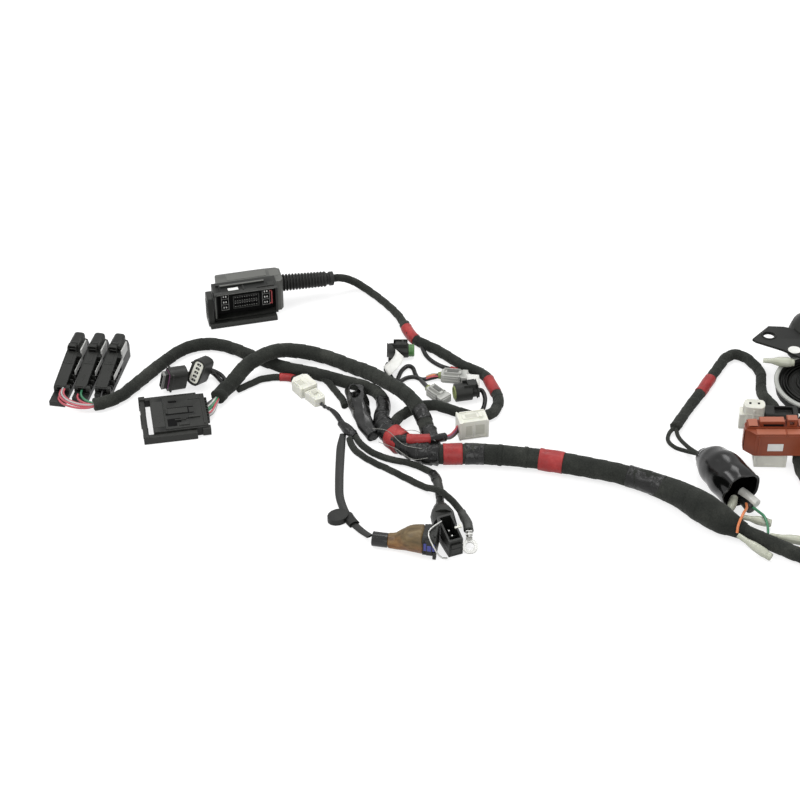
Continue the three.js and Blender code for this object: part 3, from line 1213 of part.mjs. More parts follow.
function tubeConnector() {
  const shell = prismAlongX(roundedRectangle(18, 17, 5), 0, 32);
  const mouth = block(10, -5, 4, 17, 10, 8);
  return cut(shell, mouth);
}
const tubePlace = stand(346.4, -36, 8.6, -3);
add('tube_connector', tubeConnector(), BLACK_RUBBER, tubePlace);

// Horn: a shallow round case with a rolled rim and stepped rings, its dome behind, a bracket over it

function hornCase() {
  const r = HORN_RADIUS;
  return turnedAlongZ([
    [0, 0], [0, r - 8], [4, r - 2], [HORN_DEPTH - 4, r - 1.4], [HORN_DEPTH - 3, r], [HORN_DEPTH, r],
    [HORN_DEPTH, r - HORN_RIM_WIDTH], [HORN_DEPTH - 3, r - HORN_RIM_WIDTH - 1.5], [HORN_DEPTH - 4, r - 12],
    [HORN_DEPTH - 2, r - 14], [HORN_DEPTH - 3, r - 20], [HORN_DEPTH - 1, r - 22], [HORN_DEPTH - 2, 9],
    [HORN_DEPTH, 8], [HORN_DEPTH, 0],
  ], 26);
}
const hornPlace = stand(401, 4.3, 3.6, 0, 0, HORN_TILT_DEG);
add('horn_case', hornCase(), PAINTED_STEEL, hornPlace);

function hornDome() {
  const r = HORN_DOME_RADIUS;
  return turnedAlongZ([
    [0, 0], [0, r], [HORN_DOME_HEIGHT - 16, r], [HORN_DOME_HEIGHT - 7, r - 3], [HORN_DOME_HEIGHT - 2, r - 9],
    [HORN_DOME_HEIGHT, r - 14], [HORN_DOME_HEIGHT, 0],
  ], 24);
}
function hornBracket() {
  const plate = polygon([
    [-56, 56], [-53, 52], [-30, 38], [-14, 24], [28, 20], [28, 56], [-22, 78], [-37, 79],
  ]);
  const hole = new THREE.Path();
  hole.absarc(-39, 62, BRACKET_HOLE_RADIUS, 0, 2 * Math.PI, true);
  plate.holes.push(hole);
  const stud = turnedAlongZ([[-11.4, 0], [-11.4, 4], [1, 4], [1, 0]], 10);
  stud.translate(4, 30, 0);
  const dome = hornDome();
  dome.translate(10, 80, 0.1 - BRACKET_HEIGHT);
  dome.rotateX(THREE.MathUtils.degToRad(BRACKET_TILT_DEG));
  return join(prism(plate, BRACKET_THICKNESS, 6), stud, dome);
}
const bracketPlace = stand(402, 0, BRACKET_HEIGHT, 0, 0, -BRACKET_TILT_DEG);
add('horn_bracket', hornBracket(), PAINTED_STEEL, bracketPlace);
add('spade_sleeve', bulletSleeve(29, BULLET_RADIUS + 0.6), CLEAR_VINYL, stand(353.4, 29, 26.4, -9, 1));

export default plan;
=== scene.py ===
import bpy
import math
import numpy as np
from mathutils import Matrix, Vector


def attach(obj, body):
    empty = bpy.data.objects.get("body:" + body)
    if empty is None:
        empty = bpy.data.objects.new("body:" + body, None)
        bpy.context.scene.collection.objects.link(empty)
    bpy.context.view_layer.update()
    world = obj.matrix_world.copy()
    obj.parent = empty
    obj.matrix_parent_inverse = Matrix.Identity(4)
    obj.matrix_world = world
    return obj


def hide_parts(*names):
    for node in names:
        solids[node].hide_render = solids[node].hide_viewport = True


# Wiring harness of a motorcycle, laid out flat on a bench: cloth taped branches, the connectors at their
# ends, and at the right the horn unit that it came off the machine with. Metres, in the frame of the solids.
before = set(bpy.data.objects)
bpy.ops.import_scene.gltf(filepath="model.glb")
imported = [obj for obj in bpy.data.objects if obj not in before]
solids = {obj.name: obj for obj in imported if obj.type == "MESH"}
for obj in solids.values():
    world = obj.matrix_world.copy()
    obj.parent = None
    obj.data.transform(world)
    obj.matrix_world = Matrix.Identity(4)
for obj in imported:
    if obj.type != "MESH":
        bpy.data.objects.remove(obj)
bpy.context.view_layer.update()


# The camera stands in front of the bench, two metres off, and looks 38 degrees down on the middle of it.
bench_middle = Vector((-0.052, 0.032, 0.0))
look_down = math.radians(38)
camera_distance = 2.0
camera_data = bpy.data.cameras.new("bench_camera")
camera_data.lens = 92.8
camera_data.sensor_width = 36
camera_data.clip_start = 0.05
camera = bpy.data.objects.new("bench_camera", camera_data)
camera.location = bench_middle + camera_distance * Vector((0, -math.cos(look_down), math.sin(look_down)))
camera.rotation_euler = (math.pi / 2 - look_down, 0, 0)
bpy.context.scene.collection.objects.link(camera)
bpy.context.scene.camera = camera
bpy.context.scene.view_settings.view_transform = "Standard"


# The bench is a plain white sheet under soft boxes. Seen by the camera it is white, apart from the shadow.
def add_node(tree, kind, inputs=None, **settings):
    made = tree.nodes.new(kind)
    for name, value in settings.items():
        setattr(made, name, value)
    for name, value in (inputs or {}).items():
        if isinstance(value, bpy.types.NodeSocket):
            tree.links.new(value, made.inputs[name])
        else:
            made.inputs[name].default_value = value
    return made


def seen_directly(tree):
    path = add_node(tree, "ShaderNodeLightPath")
    first = add_node(tree, "ShaderNodeMath", {0: path.outputs["Is Camera Ray"],
                     1: path.outputs["Is Glossy Ray"]}, operation="MAXIMUM")
    return add_node(tree, "ShaderNodeMath", {0: first.outputs[0],
                    1: path.outputs["Is Transmission Ray"]}, operation="MAXIMUM").outputs[0]


bench_sheet = bpy.data.materials.new("bench_sheet")
bench_sheet.use_nodes = True
tree = bench_sheet.node_tree
tree.nodes.clear()
matt = add_node(tree, "ShaderNodeBsdfDiffuse", {"Color": (0.42, 0.42, 0.42, 1)})
seen = add_node(tree, "ShaderNodeMath", {0: seen_directly(tree), 1: 0.72}, operation="MULTIPLY")
glow = add_node(tree, "ShaderNodeEmission", {"Color": (1, 1, 1, 1), "Strength": seen.outputs[0]})
both = add_node(tree, "ShaderNodeAddShader", {0: matt.outputs[0], 1: glow.outputs[0]})
add_node(tree, "ShaderNodeOutputMaterial", {"Surface": both.outputs[0]})
bench_mesh = bpy.data.meshes.new("bench")
bench_mesh.from_pydata([(-6, -6, 0), (6, -6, 0), (6, 6, 0), (-6, 6, 0)], [], [(0, 1, 2, 3)])
bench_mesh.materials.append(bench_sheet)
bench = bpy.data.objects.new("bench", bench_mesh)
bpy.context.scene.collection.objects.link(bench)

world = bpy.data.worlds.new("studio")
bpy.context.scene.world = world
world.use_nodes = True
tree = world.node_tree
tree.nodes.clear()
seen = seen_directly(tree)
level = add_node(tree, "ShaderNodeMix", {"Factor": seen, 2: 0.55, 3: 1.0}, data_type="FLOAT")
sky = add_node(tree, "ShaderNodeBackground", {"Color": (1, 1, 1, 1), "Strength": level.outputs[0]})
add_node(tree, "ShaderNodeOutputWorld", {"Surface": sky.outputs[0]})

for name, place, aim, size, power in (
        ("soft_box_left", (-1.2, -0.3, 1.7), (-0.1, 0, 0), 1.0, 16),
        ("soft_box_back", (0.35, 0.75, 2.0), (0.05, 0, 0), 1.1, 18),
        ("soft_box_front", (0.15, -1.9, 0.9), (0, 0, 0), 1.2, 11)):
    lamp_data = bpy.data.lights.new(name, "AREA")
    lamp_data.size = size
    lamp_data.energy = power
    lamp = bpy.data.objects.new(name, lamp_data)
    lamp.location = place
    lamp.rotation_euler = (Vector(aim) - Vector(place)).to_track_quat("-Z", "Y").to_euler()
    bpy.context.scene.collection.objects.link(lamp)


# The trunk is the main bundle: some forty leads under a spiral of charcoal cloth tape, lapped by half.
# Each turn of the tape leaves a low step, and the fibres of the cloth stand up as a fine fuzz.
TAPE_PITCH = 0.014


def new_finish(name, colour, roughness, **sockets):
    material = bpy.data.materials.new(name)
    material.use_nodes = True
    shader = material.node_tree.nodes["Principled BSDF"]
    shader.inputs["Base Color"].default_value = (*colour, 1)
    shader.inputs["Roughness"].default_value = roughness
    for socket, value in sockets.items():
        shader.inputs[socket.replace("_", " ")].default_value = value
    return material, material.node_tree, shader


def grain(tree, scale, detail=3, where=None, roughness=0.55):
    made = add_node(tree, "ShaderNodeTexNoise", {"Scale": scale, "Detail": detail, "Roughness": roughness})
    if where is None:
        where = add_node(tree, "ShaderNodeTexCoord").outputs["Object"]
    tree.links.new(where, made.inputs["Vector"])
    return made.outputs["Fac"]


def ramp(tree, value, *stops):
    made = add_node(tree, "ShaderNodeValToRGB", {"Fac": value})
    while len(made.color_ramp.elements) < len(stops):
        made.color_ramp.elements.new(0.5)
    for element, (place, colour) in zip(made.color_ramp.elements, stops):
        element.position = place
        element.color = (*colour, 1) if len(colour) == 3 else (colour[0], colour[0], colour[0], 1)
    return made.outputs["Color"]


def calc(tree, operation, *values):
    return add_node(tree, "ShaderNodeMath", dict(enumerate(values)), operation=operation).outputs[0]


def raise_surface(tree, shader, *layers):
    below = None
    for height, strength, distance in layers:
        made = add_node(tree, "ShaderNodeBump",
                        {"Strength": strength, "Distance": distance, "Height": height})
        if below is not None:
            tree.links.new(below, made.inputs["Normal"])
        below = made.outputs["Normal"]
    tree.links.new(below, shader.inputs["Normal"])


def wound(tree):
    """Where a point lies on wound tape: turns round the bundle, turns along it, and the share of one lap."""
    place = add_node(tree, "ShaderNodeSeparateXYZ",
                     {0: add_node(tree, "ShaderNodeUVMap", uv_map="wound").outputs[0]})
    lap = calc(tree, "FRACT", calc(tree, "SUBTRACT", place.outputs[1], place.outputs[0]))
    return place.outputs[0], place.outputs[1], lap


def weave(tree, threads):
    """A plain weave of so many threads to a turn of tape, from two crossed waves."""
    turn, along, lap = wound(tree)
    across = calc(tree, "SINE", calc(tree, "MULTIPLY", turn, threads * 4 * math.pi))
    down = calc(tree, "SINE", calc(tree, "MULTIPLY", along, threads * 2 * math.pi))
    return calc(tree, "MULTIPLY", across, down), lap


cloth_tape, tree, shader = new_finish("cloth_tape", (0.026, 0.028, 0.025), 0.86, Sheen_Weight=0.2,
                                      Sheen_Roughness=0.45, Sheen_Tint=(0.62, 0.64, 0.6, 1),
                                      Specular_IOR_Level=0.15)
threads, lap = weave(tree, 30)
fuzz = grain(tree, 900, 4)
worn = grain(tree, 42, 4)
base = ramp(tree, worn, (0.3, (0.015, 0.0165, 0.0145)), (0.55, (0.024, 0.026, 0.0225)),
            (0.8, (0.05, 0.052, 0.045)))
# Painted shade and painted highlight: the colour is darkened just past each lap step and lightened on the lip
# before it.
edge = ramp(tree, lap, (0, (0.7,)), (0.035, (1.0,)), (0.93, (1.0,)), (1, (1.12,)))
speck = ramp(tree, fuzz, (0.3, (0.62,)), (0.7, (1.5,)))
shaded = add_node(tree, "ShaderNodeMix", {"Factor": 1.0, 6: base, 7: edge}, data_type="RGBA",
                  blend_type="MULTIPLY")
fuzzed = add_node(tree, "ShaderNodeMix", {"Factor": 0.8, 6: shaded.outputs[2], 7: speck},
                  data_type="RGBA", blend_type="MULTIPLY")
tree.links.new(fuzzed.outputs[2], shader.inputs["Base Color"])
raise_surface(tree, shader, (threads, 0.5, 0.00012), (fuzz, 0.55, 0.0003), (worn, 0.3, 0.0015))


def smooth_line(points, spacing=0.0012):
    """Evenly spaced points of one smooth line through a route, moved from bench places to the frame."""
    marks = np.array(points, float) + np.array(bench_middle)
    marks = np.vstack([2 * marks[0] - marks[1], marks, 2 * marks[-1] - marks[-2]])
    dense = []
    for before, start, end, after in zip(marks, marks[1:], marks[2:], marks[3:]):
        a, b, c = (np.linalg.norm(q - p) ** 0.5 for p, q in ((before, start), (start, end), (end, after)))
        leave = ((start - before) / a - (end - before) / (a + b) + (end - start) / b) * b
        arrive = ((end - start) / b - (after - start) / (b + c) + (after - end) / c) * b
        for t in np.linspace(0, 1, 24, endpoint=False):
            dense.append(start + leave * t + (3 * (end - start) - 2 * leave - arrive) * t * t
                         + (2 * (start - end) + leave + arrive) * t ** 3)
    dense.append(marks[-2])
    dense = np.array(dense)
    along = np.concatenate([[0], np.cumsum(np.linalg.norm(np.diff(dense, axis=0), axis=1))])
    stations = np.linspace(0, along[-1], max(int(round(along[-1] / spacing)), 3) + 1)
    return np.stack([np.interp(stations, along, dense[:, axis]) for axis in range(3)], axis=1)


def distances(line):
    return np.concatenate([[0], np.cumsum(np.linalg.norm(np.diff(line, axis=0), axis=1))])


def across_line(line):
    """Two directions square to the line at each of its points, carried along it without twist."""
    ahead = np.gradient(line, axis=0)
    ahead /= np.linalg.norm(ahead, axis=1)[:, None]
    upward = np.array([0.0, 0.0, 1.0]) if abs(ahead[0][2]) < 0.9 else np.array([0.0, 1.0, 0.0])
    ups = []
    for direction in ahead:
        upward = upward - direction * upward.dot(direction)
        upward /= np.linalg.norm(upward)
        ups.append(upward)
    ups = np.array(ups)
    return np.cross(ups, ahead), ups


def put_mesh(name, points, faces, finish, body="harness", turns=None, smooth=True):
    mesh = bpy.data.meshes.new(name)
    mesh.from_pydata([tuple(p) for p in points], [], [tuple(f) for f in faces])
    if turns is not None:
        layer = mesh.uv_layers.new(name="wound")
        layer.data.foreach_set("uv", np.array(turns, np.float32).ravel())
    mesh.materials.append(finish)
    if smooth:
        mesh.polygons.foreach_set("use_smooth", [True] * len(mesh.polygons))
    mesh.update()
    piece = bpy.data.objects.new(name, mesh)
    bpy.context.scene.collection.objects.link(piece)
    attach(piece, body)
    return piece


def tube(name, line, radius, finish, body="harness", sides=28, lap=0.0, lumps=0.0, seed=0.0, tall=1.0,
         rounded=True, pitch=TAPE_PITCH):
    """A closed tube along a line. radius is one number or pairs of (share of the length, radius)."""
    along = distances(line)
    if isinstance(radius, (int, float)):
        reach = np.full(len(line), float(radius))
    else:
        shares, radii = zip(*radius)
        reach = np.interp(along / along[-1], shares, radii)
        reach = np.convolve(np.pad(reach, 4, mode="edge"), np.ones(9) / 9, mode="valid")
    side, upward = across_line(line)
    turn = np.arange(sides) / sides
    angle = turn * 2 * math.pi
    wave = (np.sin(along[:, None] * 190 + 3 * np.cos(angle) + seed) * 0.5
            + np.sin(along[:, None] * 83 + 2 * angle[None, :] + 2.3 * seed)
            + 0.6 * np.sin(along[:, None] * 410 + 5 * angle[None, :] + 4.1 * seed))
    sweep = reach[:, None] * (1 + lumps * wave / 2)
    sweep = sweep + lap * ((along[:, None] / pitch - turn[None, :]) % 1.0 - 0.5)
    points = (line[:, None, :] + (sweep * np.cos(angle))[..., None] * side[:, None, :]
              + (sweep * np.sin(angle) * tall)[..., None] * upward[:, None, :])
    rings = [points[i] for i in range(len(line))]
    places = list(along / pitch)
    if rounded:
        ahead = np.gradient(line, axis=0)
        ahead /= np.linalg.norm(ahead, axis=1)[:, None]
        for share, reach_share in ((0.12, 0.86), (0.16, 0.6)):
            rings.insert(0, line[0] + (points[0] - line[0]) * reach_share - ahead[0] * reach[0] * share)
            rings.append(line[-1] + (points[-1] - line[-1]) * reach_share + ahead[-1] * reach[-1] * share)
            places.insert(0, places[0])
            places.append(places[-1])
    flat = np.array(rings).reshape(-1, 3)
    flat[:, 2] = np.maximum(flat[:, 2], 0.0001)
    count = len(rings)
    faces, turns = [], []
    for i in range(count - 1):
        for j in range(sides):
            k = (j + 1) % sides
            faces.append((i * sides + j, i * sides + k, (i + 1) * sides + k, (i + 1) * sides + j))
            turns += [(j / sides, places[i]), ((j + 1) / sides, places[i]),
                      ((j + 1) / sides, places[i + 1]), (j / sides, places[i + 1])]
    faces.append(tuple(range(sides - 1, -1, -1)))
    turns += [(j / sides, places[0]) for j in range(sides - 1, -1, -1)]
    faces.append(tuple((count - 1) * sides + j for j in range(sides)))
    turns += [(j / sides, places[-1]) for j in range(sides)]
    return put_mesh(name, flat, faces, finish, body, turns)


def lead(name, route, radius, finish, length, stands_for=(), far_end="object", spacing=0.0012,
         slot="cloth_tape", stiffness="medium", on_it=(), **form):
    """A cord of the harness, laid along its route. Its length argument, the length it was cut to, is not
    used.
    """
    line = smooth_line(route, spacing)
    piece = tube(name, line, radius, finish, **form)
    if stands_for:
        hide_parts(*stands_for)
    return line


trunk_route = [
    (0.0364, -0.0954, 0.0105), (0.048, -0.095, 0.0105), (0.076, -0.095, 0.0105), (0.104, -0.098, 0.0105),
    (0.128, -0.102, 0.0105), (0.151, -0.108, 0.0105), (0.189, -0.119, 0.0105), (0.212, -0.128, 0.0108),
    (0.238, -0.143, 0.0116), (0.258, -0.16, 0.0136), (0.276, -0.18, 0.0146), (0.292, -0.193, 0.012),
    (0.306, -0.201, 0.009),
]
trunk_line = lead("trunk", trunk_route, ((0, 0.0096), (0.6, 0.0096), (0.7, 0.0108), (0.85, 0.0142),
                                         (0.93, 0.0128), (0.97, 0.0098), (1, 0.0078)), cloth_tape, 0.301,
                  ["trunk_sleeve"], lap=0.0003, lumps=0.035, seed=1.0, sides=40)


# Past the rubber boot the trunk goes on thinner, as a bundle in smooth tape that lies on the bench.
tail_route = [
    (0.3068, -0.2015, 0.0088), (0.319, -0.2086, 0.0072), (0.335, -0.219, 0.0068), (0.351, -0.23, 0.0068),
    (0.37, -0.24, 0.0068), (0.392, -0.248, 0.0068),
]
lead("trunk_tail_bundle", tail_route, 0.0068, cloth_tape, 0.098, ["trunk_tail"], lap=0.0005, lumps=0.04,
     seed=2.0)


# Branch one runs from the three fuse and relay plugs at the left end to the junction, in cloth tape.
branch_one_route = [
    (-0.294, -0.016, 0.007), (-0.284, -0.012, 0.0066), (-0.271, -0.002, 0.0062), (-0.258, 0.016, 0.0062),
    (-0.245, 0.036, 0.0062), (-0.232, 0.055, 0.0062), (-0.219, 0.071, 0.0062), (-0.206, 0.08, 0.0062),
    (-0.192, 0.083, 0.0062), (-0.178, 0.081, 0.0062), (-0.162, 0.073, 0.0062), (-0.147, 0.063, 0.0062),
    (-0.13, 0.053, 0.0062), (-0.11, 0.043, 0.0062), (-0.088, 0.036, 0.0062), (-0.069, 0.028, 0.0062),
    (-0.051, 0.02, 0.0062), (-0.034, 0.013, 0.0062), (-0.023, 0.004, 0.0066), (-0.017, -0.008, 0.007),
    (-0.016, -0.022, 0.0076), (-0.018, -0.038, 0.009),
]
branch_one_line = lead("branch_one", branch_one_route, 0.0062, cloth_tape, 0.379, ["branch_1_sleeve"],
                       lap=0.0005, lumps=0.04, seed=3.0)
offshoot_route = [
    (-0.076, 0.03, 0.006), (-0.069, 0.02, 0.005), (-0.062, 0.008, 0.0038), (-0.056, -0.003, 0.0036),
    (-0.053, -0.014, 0.0036),
]
lead("branch_one_offshoot", offshoot_route, 0.0034, cloth_tape, 0.05, lap=0.0004, lumps=0.04, seed=3.5,
     sides=20)


# Branch two is thicker and stiffer: it leaves the box connector and arches over everything to the trunk.
branch_two_route = [
    (-0.176, -0.006, 0.008), (-0.171, 0.004, 0.008), (-0.164, 0.014, 0.0094), (-0.157, 0.0225, 0.014),
    (-0.149, 0.031, 0.0188), (-0.139, 0.0398, 0.0208), (-0.127, 0.049, 0.021), (-0.114, 0.0574, 0.0176),
    (-0.101, 0.0628, 0.0124), (-0.088, 0.064, 0.009), (-0.068, 0.057, 0.0074), (-0.045, 0.0416, 0.0082),
    (-0.029, 0.026, 0.0128), (-0.012, 0.0065, 0.0164), (0.002, -0.01, 0.0186), (0.013, -0.027, 0.0186),
    (0.021, -0.044, 0.016), (0.025, -0.058, 0.013), (0.028, -0.072, 0.0125),
]
branch_two_line = lead("branch_two", branch_two_route, ((0, 0.0076), (0.2, 0.0072), (1, 0.0072)),
                       cloth_tape, 0.31, ["branch_2_sleeve"], lap=0.0006, lumps=0.035, seed=4.0, sides=32)


# The cable of the large control unit connector, with the loop it goes over into behind the white box.
ecu_lead_route = [
    (-0.1208, 0.1648, 0.0239), (-0.1019, 0.1699, 0.0224), (-0.0827, 0.1751, 0.0209),
    (-0.0678, 0.1792, 0.0197), (-0.0625, 0.1806, 0.0193), (-0.051, 0.185, 0.013), (-0.042, 0.186, 0.0068),
    (-0.029, 0.175, 0.004), (-0.018, 0.161, 0.004), (-0.008, 0.146, 0.004), (-0.001, 0.133, 0.0044),
    (0.0041, 0.1186, 0.005),
]
lead("control_lead", ecu_lead_route, 0.004, cloth_tape, 0.169, ["ecu_lead"], lap=0.0004, lumps=0.05,
     seed=5.0, sides=24)
loop_route = [
    (0.0045, 0.1176, 0.0052), (0.008, 0.107, 0.0052), (0.014, 0.094, 0.0052), (0.023, 0.085, 0.0052),
    (0.035, 0.076, 0.0052), (0.051, 0.06, 0.0052), (0.063, 0.048, 0.0052), (0.075, 0.04, 0.0052),
    (0.084, 0.031, 0.0052), (0.09, 0.014, 0.0052), (0.095, -0.005, 0.0052), (0.093, -0.018, 0.0052),
    (0.086, -0.029, 0.0052), (0.07, -0.031, 0.0052), (0.051, -0.023, 0.0052), (0.034, -0.015, 0.0052),
    (0.02, -0.017, 0.0052), (0.005, -0.027, 0.0052), (-0.003, -0.038, 0.006), (-0.008, -0.05, 0.008),
]
loop_line = lead("loop", loop_route, 0.0052, cloth_tape, 0.3, ["loop_sleeve"], lap=0.0005, lumps=0.04,
                 seed=6.0)


# The two thinner cables that cross each other in front: one to the square sensor plug, one to the earth ring.
sensor_lead_route = [
    (-0.044, -0.056, 0.005), (-0.039, -0.068, 0.0036), (-0.027, -0.083, 0.0032), (-0.01, -0.094, 0.0036),
    (0.008, -0.101, 0.0046), (0.021, -0.107, 0.0034), (0.031, -0.116, 0.0032), (0.035, -0.13, 0.0032),
    (0.0365, -0.15, 0.0036),
]
sensor_line = lead("sensor_cable", sensor_lead_route, 0.0032, cloth_tape, 0.135, ["sensor_lead"],
                   lap=0.0003, lumps=0.04, seed=7.0, sides=20)
ground_lead_route = [
    (-0.0478, -0.065, 0.0044), (-0.044, -0.077, 0.0032), (-0.036, -0.088, 0.0032),
    (-0.024, -0.099, 0.0032), (-0.01, -0.109, 0.0032), (0.008, -0.123, 0.0032), (0.022, -0.135, 0.0046),
    (0.036, -0.148, 0.0106), (0.047, -0.16, 0.0094), (0.054, -0.173, 0.009), (0.0582, -0.186, 0.0104),
    (0.0604, -0.196, 0.0118), (0.0612, -0.203, 0.0112),
]
earth_line = lead("earth_cable", ground_lead_route, 0.0032, cloth_tape, 0.184, ["ground_lead"], lap=0.0003,
                  lumps=0.04, seed=8.0, sides=20)


# The right branch: two strands out of the trunk, joined under tape, up and over to the tube connector.
right_branch_route = [
    (0.261, -0.049, 0.0052), (0.266, -0.04, 0.0052), (0.278, -0.018, 0.0052), (0.291, 0.004, 0.0052),
    (0.304, 0.028, 0.0052), (0.314, 0.046, 0.0052), (0.324, 0.062, 0.0052), (0.333, 0.067, 0.0052),
    (0.342, 0.062, 0.0052), (0.35, 0.049, 0.0052), (0.354, 0.036, 0.0052), (0.352, 0.018, 0.0052),
    (0.351, 0.004, 0.0052), (0.354, -0.01, 0.0076), (0.3576, -0.019, 0.0088), (0.359, -0.026, 0.009),
]
right_line = lead("right_branch", right_branch_route, 0.0052, cloth_tape, 0.241, ["right_branch_sleeve"],
                  lap=0.0005, lumps=0.05, seed=9.0)
strand_routes = [
    [(0.2804, -0.0988, 0.0128), (0.27, -0.089, 0.008), (0.258, -0.077, 0.004), (0.253, -0.066, 0.003),
     (0.255, -0.056, 0.0036), (0.2615, -0.048, 0.0052)],
    [(0.2778, -0.0986, 0.0128), (0.27, -0.079, 0.006), (0.263, -0.061, 0.004), (0.262, -0.047, 0.0052)],
]
for number, route in enumerate(strand_routes):
    lead(f"right_strand_{number + 1}", route, 0.002, cloth_tape, (0.066, 0.056)[number], sides=14, lumps=0.04,
         seed=number)
side_sleeve_route = [
    (0.3868, -0.041, 0.0081), (0.386, -0.052, 0.008), (0.381, -0.072, 0.008), (0.374, -0.092, 0.008),
    (0.373, -0.118, 0.008), (0.383, -0.144, 0.008), (0.396, -0.165, 0.008),
]
lead("side_cable", side_sleeve_route, 0.008, cloth_tape, 0.132, ["side_sleeve"], lap=0.0006, lumps=0.04,
     seed=10.0)


# The flat ribbon: a glossy PVC sleeve over four flat leads, held by a clip half way to the coil.
glossy_tape, tree, shader = new_finish("glossy_tape", (0.007, 0.0072, 0.007), 0.3, Specular_IOR_Level=0.32)
threads, lap = weave(tree, 8)
crinkle = grain(tree, 160, 3)
edge = ramp(tree, lap, (0, (0.0,)), (0.05, (1.0,)), (0.9, (0.85,)), (1, (0.2,)))
tree.links.new(ramp(tree, crinkle, (0.35, (0.22,)), (0.7, (0.44,))), shader.inputs["Roughness"])
raise_surface(tree, shader, (edge, 0.5, 0.0005), (crinkle, 0.7, 0.0016), (grain(tree, 60, 2), 0.7, 0.004))
ribbon_route = [
    (-0.054, -0.056, 0.0024), (-0.0555, -0.072, 0.0019), (-0.056, -0.096, 0.0019),
    (-0.056, -0.124, 0.0019), (-0.055, -0.146, 0.0019), (-0.051, -0.163, 0.0019), (-0.045, -0.178, 0.002),
    (-0.035, -0.194, 0.0036), (-0.027, -0.205, 0.0064),
]
satin_sleeve, tree, shader = new_finish("satin_sleeve", (0.008, 0.0085, 0.0075), 0.3, Specular_IOR_Level=0.42)
dust = grain(tree, 90, 4)
tree.links.new(ramp(tree, dust, (0.3, (0.3,)), (0.7, (0.48,))), shader.inputs["Roughness"])
raise_surface(tree, shader, (dust, 0.2, 0.0008))
lead("ribbon", ribbon_route, ((0, 0.003), (0.12, 0.0042), (0.8, 0.0038), (1, 0.0034)), satin_sleeve, 0.157,
     ["ribbon_sleeve"], slot="glossy_tape", tall=0.34, sides=24)


# The cable to the white in-line plugs, and the thin flat sleeve that leaves them for the junction.
white_lead_route = [
    (-0.158, 0.012, 0.0034), (-0.15, 0.018, 0.0034), (-0.135, 0.029, 0.0034), (-0.118, 0.032, 0.0034),
    (-0.108, 0.0305, 0.004), (-0.1026, 0.0268, 0.005),
]
white_line = lead("white_plug_cable", white_lead_route, 0.0034, cloth_tape, 0.063, ["white_plug_lead"],
                  lap=0.0003, lumps=0.04, seed=12.0, sides=20)
receptacle_sleeve_route = [
    (-0.0761, -0.0105, 0.0042), (-0.0726, -0.0144, 0.0034), (-0.067, -0.018, 0.0028),
    (-0.0615, -0.025, 0.0026), (-0.057, -0.035, 0.0026), (-0.051, -0.048, 0.004),
]
receptacle_line = lead("receptacle_cable", receptacle_sleeve_route,
                       ((0, 0.0012), (0.22, 0.0013), (0.34, 0.0026), (1, 0.0028)), glossy_tape, 0.046,
                       ["receptacle_sleeve"], slot="glossy_tape", lumps=0.05, sides=18)
knot_route = [
    (-0.057, -0.042, 0.005), (-0.05, -0.052, 0.0056), (-0.043, -0.062, 0.005),
]
tube("knot", smooth_line(knot_route), ((0, 0.003), (0.5, 0.0052), (1, 0.0034)), glossy_tape, lumps=0.12,
     seed=2.2, sides=20)


# Single leads with PVC insulation, a shine on them and no pattern but the faint dust of use.
def wire_finish(name, colour):
    material, tree, shader = new_finish(name, colour, 0.34, Coat_Weight=0.15)
    dust = grain(tree, 220, 3)
    dull = tuple(0.72 * c + 0.035 for c in colour)
    tree.links.new(ramp(tree, dust, (0.35, colour), (0.75, dull)), shader.inputs["Base Color"])
    tree.links.new(ramp(tree, dust, (0.3, (0.28,)), (0.7, (0.5,))), shader.inputs["Roughness"])
    raise_surface(tree, shader, (dust, 0.15, 0.0003))
    return material


pink_wire = wire_finish("pink_wire", (0.5, 0.075, 0.1))
white_wire = wire_finish("white_wire", (0.6, 0.6, 0.56))
green_wire = wire_finish("green_wire", (0.03, 0.2, 0.09))
black_wire = wire_finish("black_wire", (0.012, 0.012, 0.013))
orange_wire = wire_finish("orange_wire", (0.72, 0.2, 0.05))
brown_wire = wire_finish("brown_wire", (0.13, 0.05, 0.025))
purple_wire = wire_finish("purple_wire", (0.25, 0.09, 0.25))
grey_wire = wire_finish("grey_wire", (0.42, 0.42, 0.41))


def wire(name, route, finish, radius=0.0011, body="harness", sides=10, spacing=0.001):
    return tube(name, smooth_line(route, spacing), radius, finish, body, sides=sides, lumps=0.0, pitch=0.05)


relay_lead_routes = [
    [(-0.3278, 0.0082, 0.008), (-0.3286, 0.0034, 0.0082), (-0.3284, -0.004, 0.0086),
     (-0.323, -0.012, 0.0084), (-0.312, -0.0175, 0.0078), (-0.3, -0.019, 0.0074), (-0.291, -0.016, 0.007)],
    [(-0.3078, 0.0071, 0.008), (-0.3086, 0.002, 0.0082), (-0.3074, -0.005, 0.0086),
     (-0.302, -0.012, 0.0086), (-0.294, -0.0155, 0.008)],
    [(-0.2878, 0.006, 0.008), (-0.2884, 0.0008, 0.008), (-0.2886, -0.005, 0.0078), (-0.2885, -0.01, 0.007)],
]


def beside(route, shift, close=0.75):
    """The route of a wire that lies beside another, and closes up with it towards the end."""
    last = len(route) - 1
    return [tuple(p + d * (1 - close * i / last) for p, d in zip(point, shift))
            for i, point in enumerate(route)]


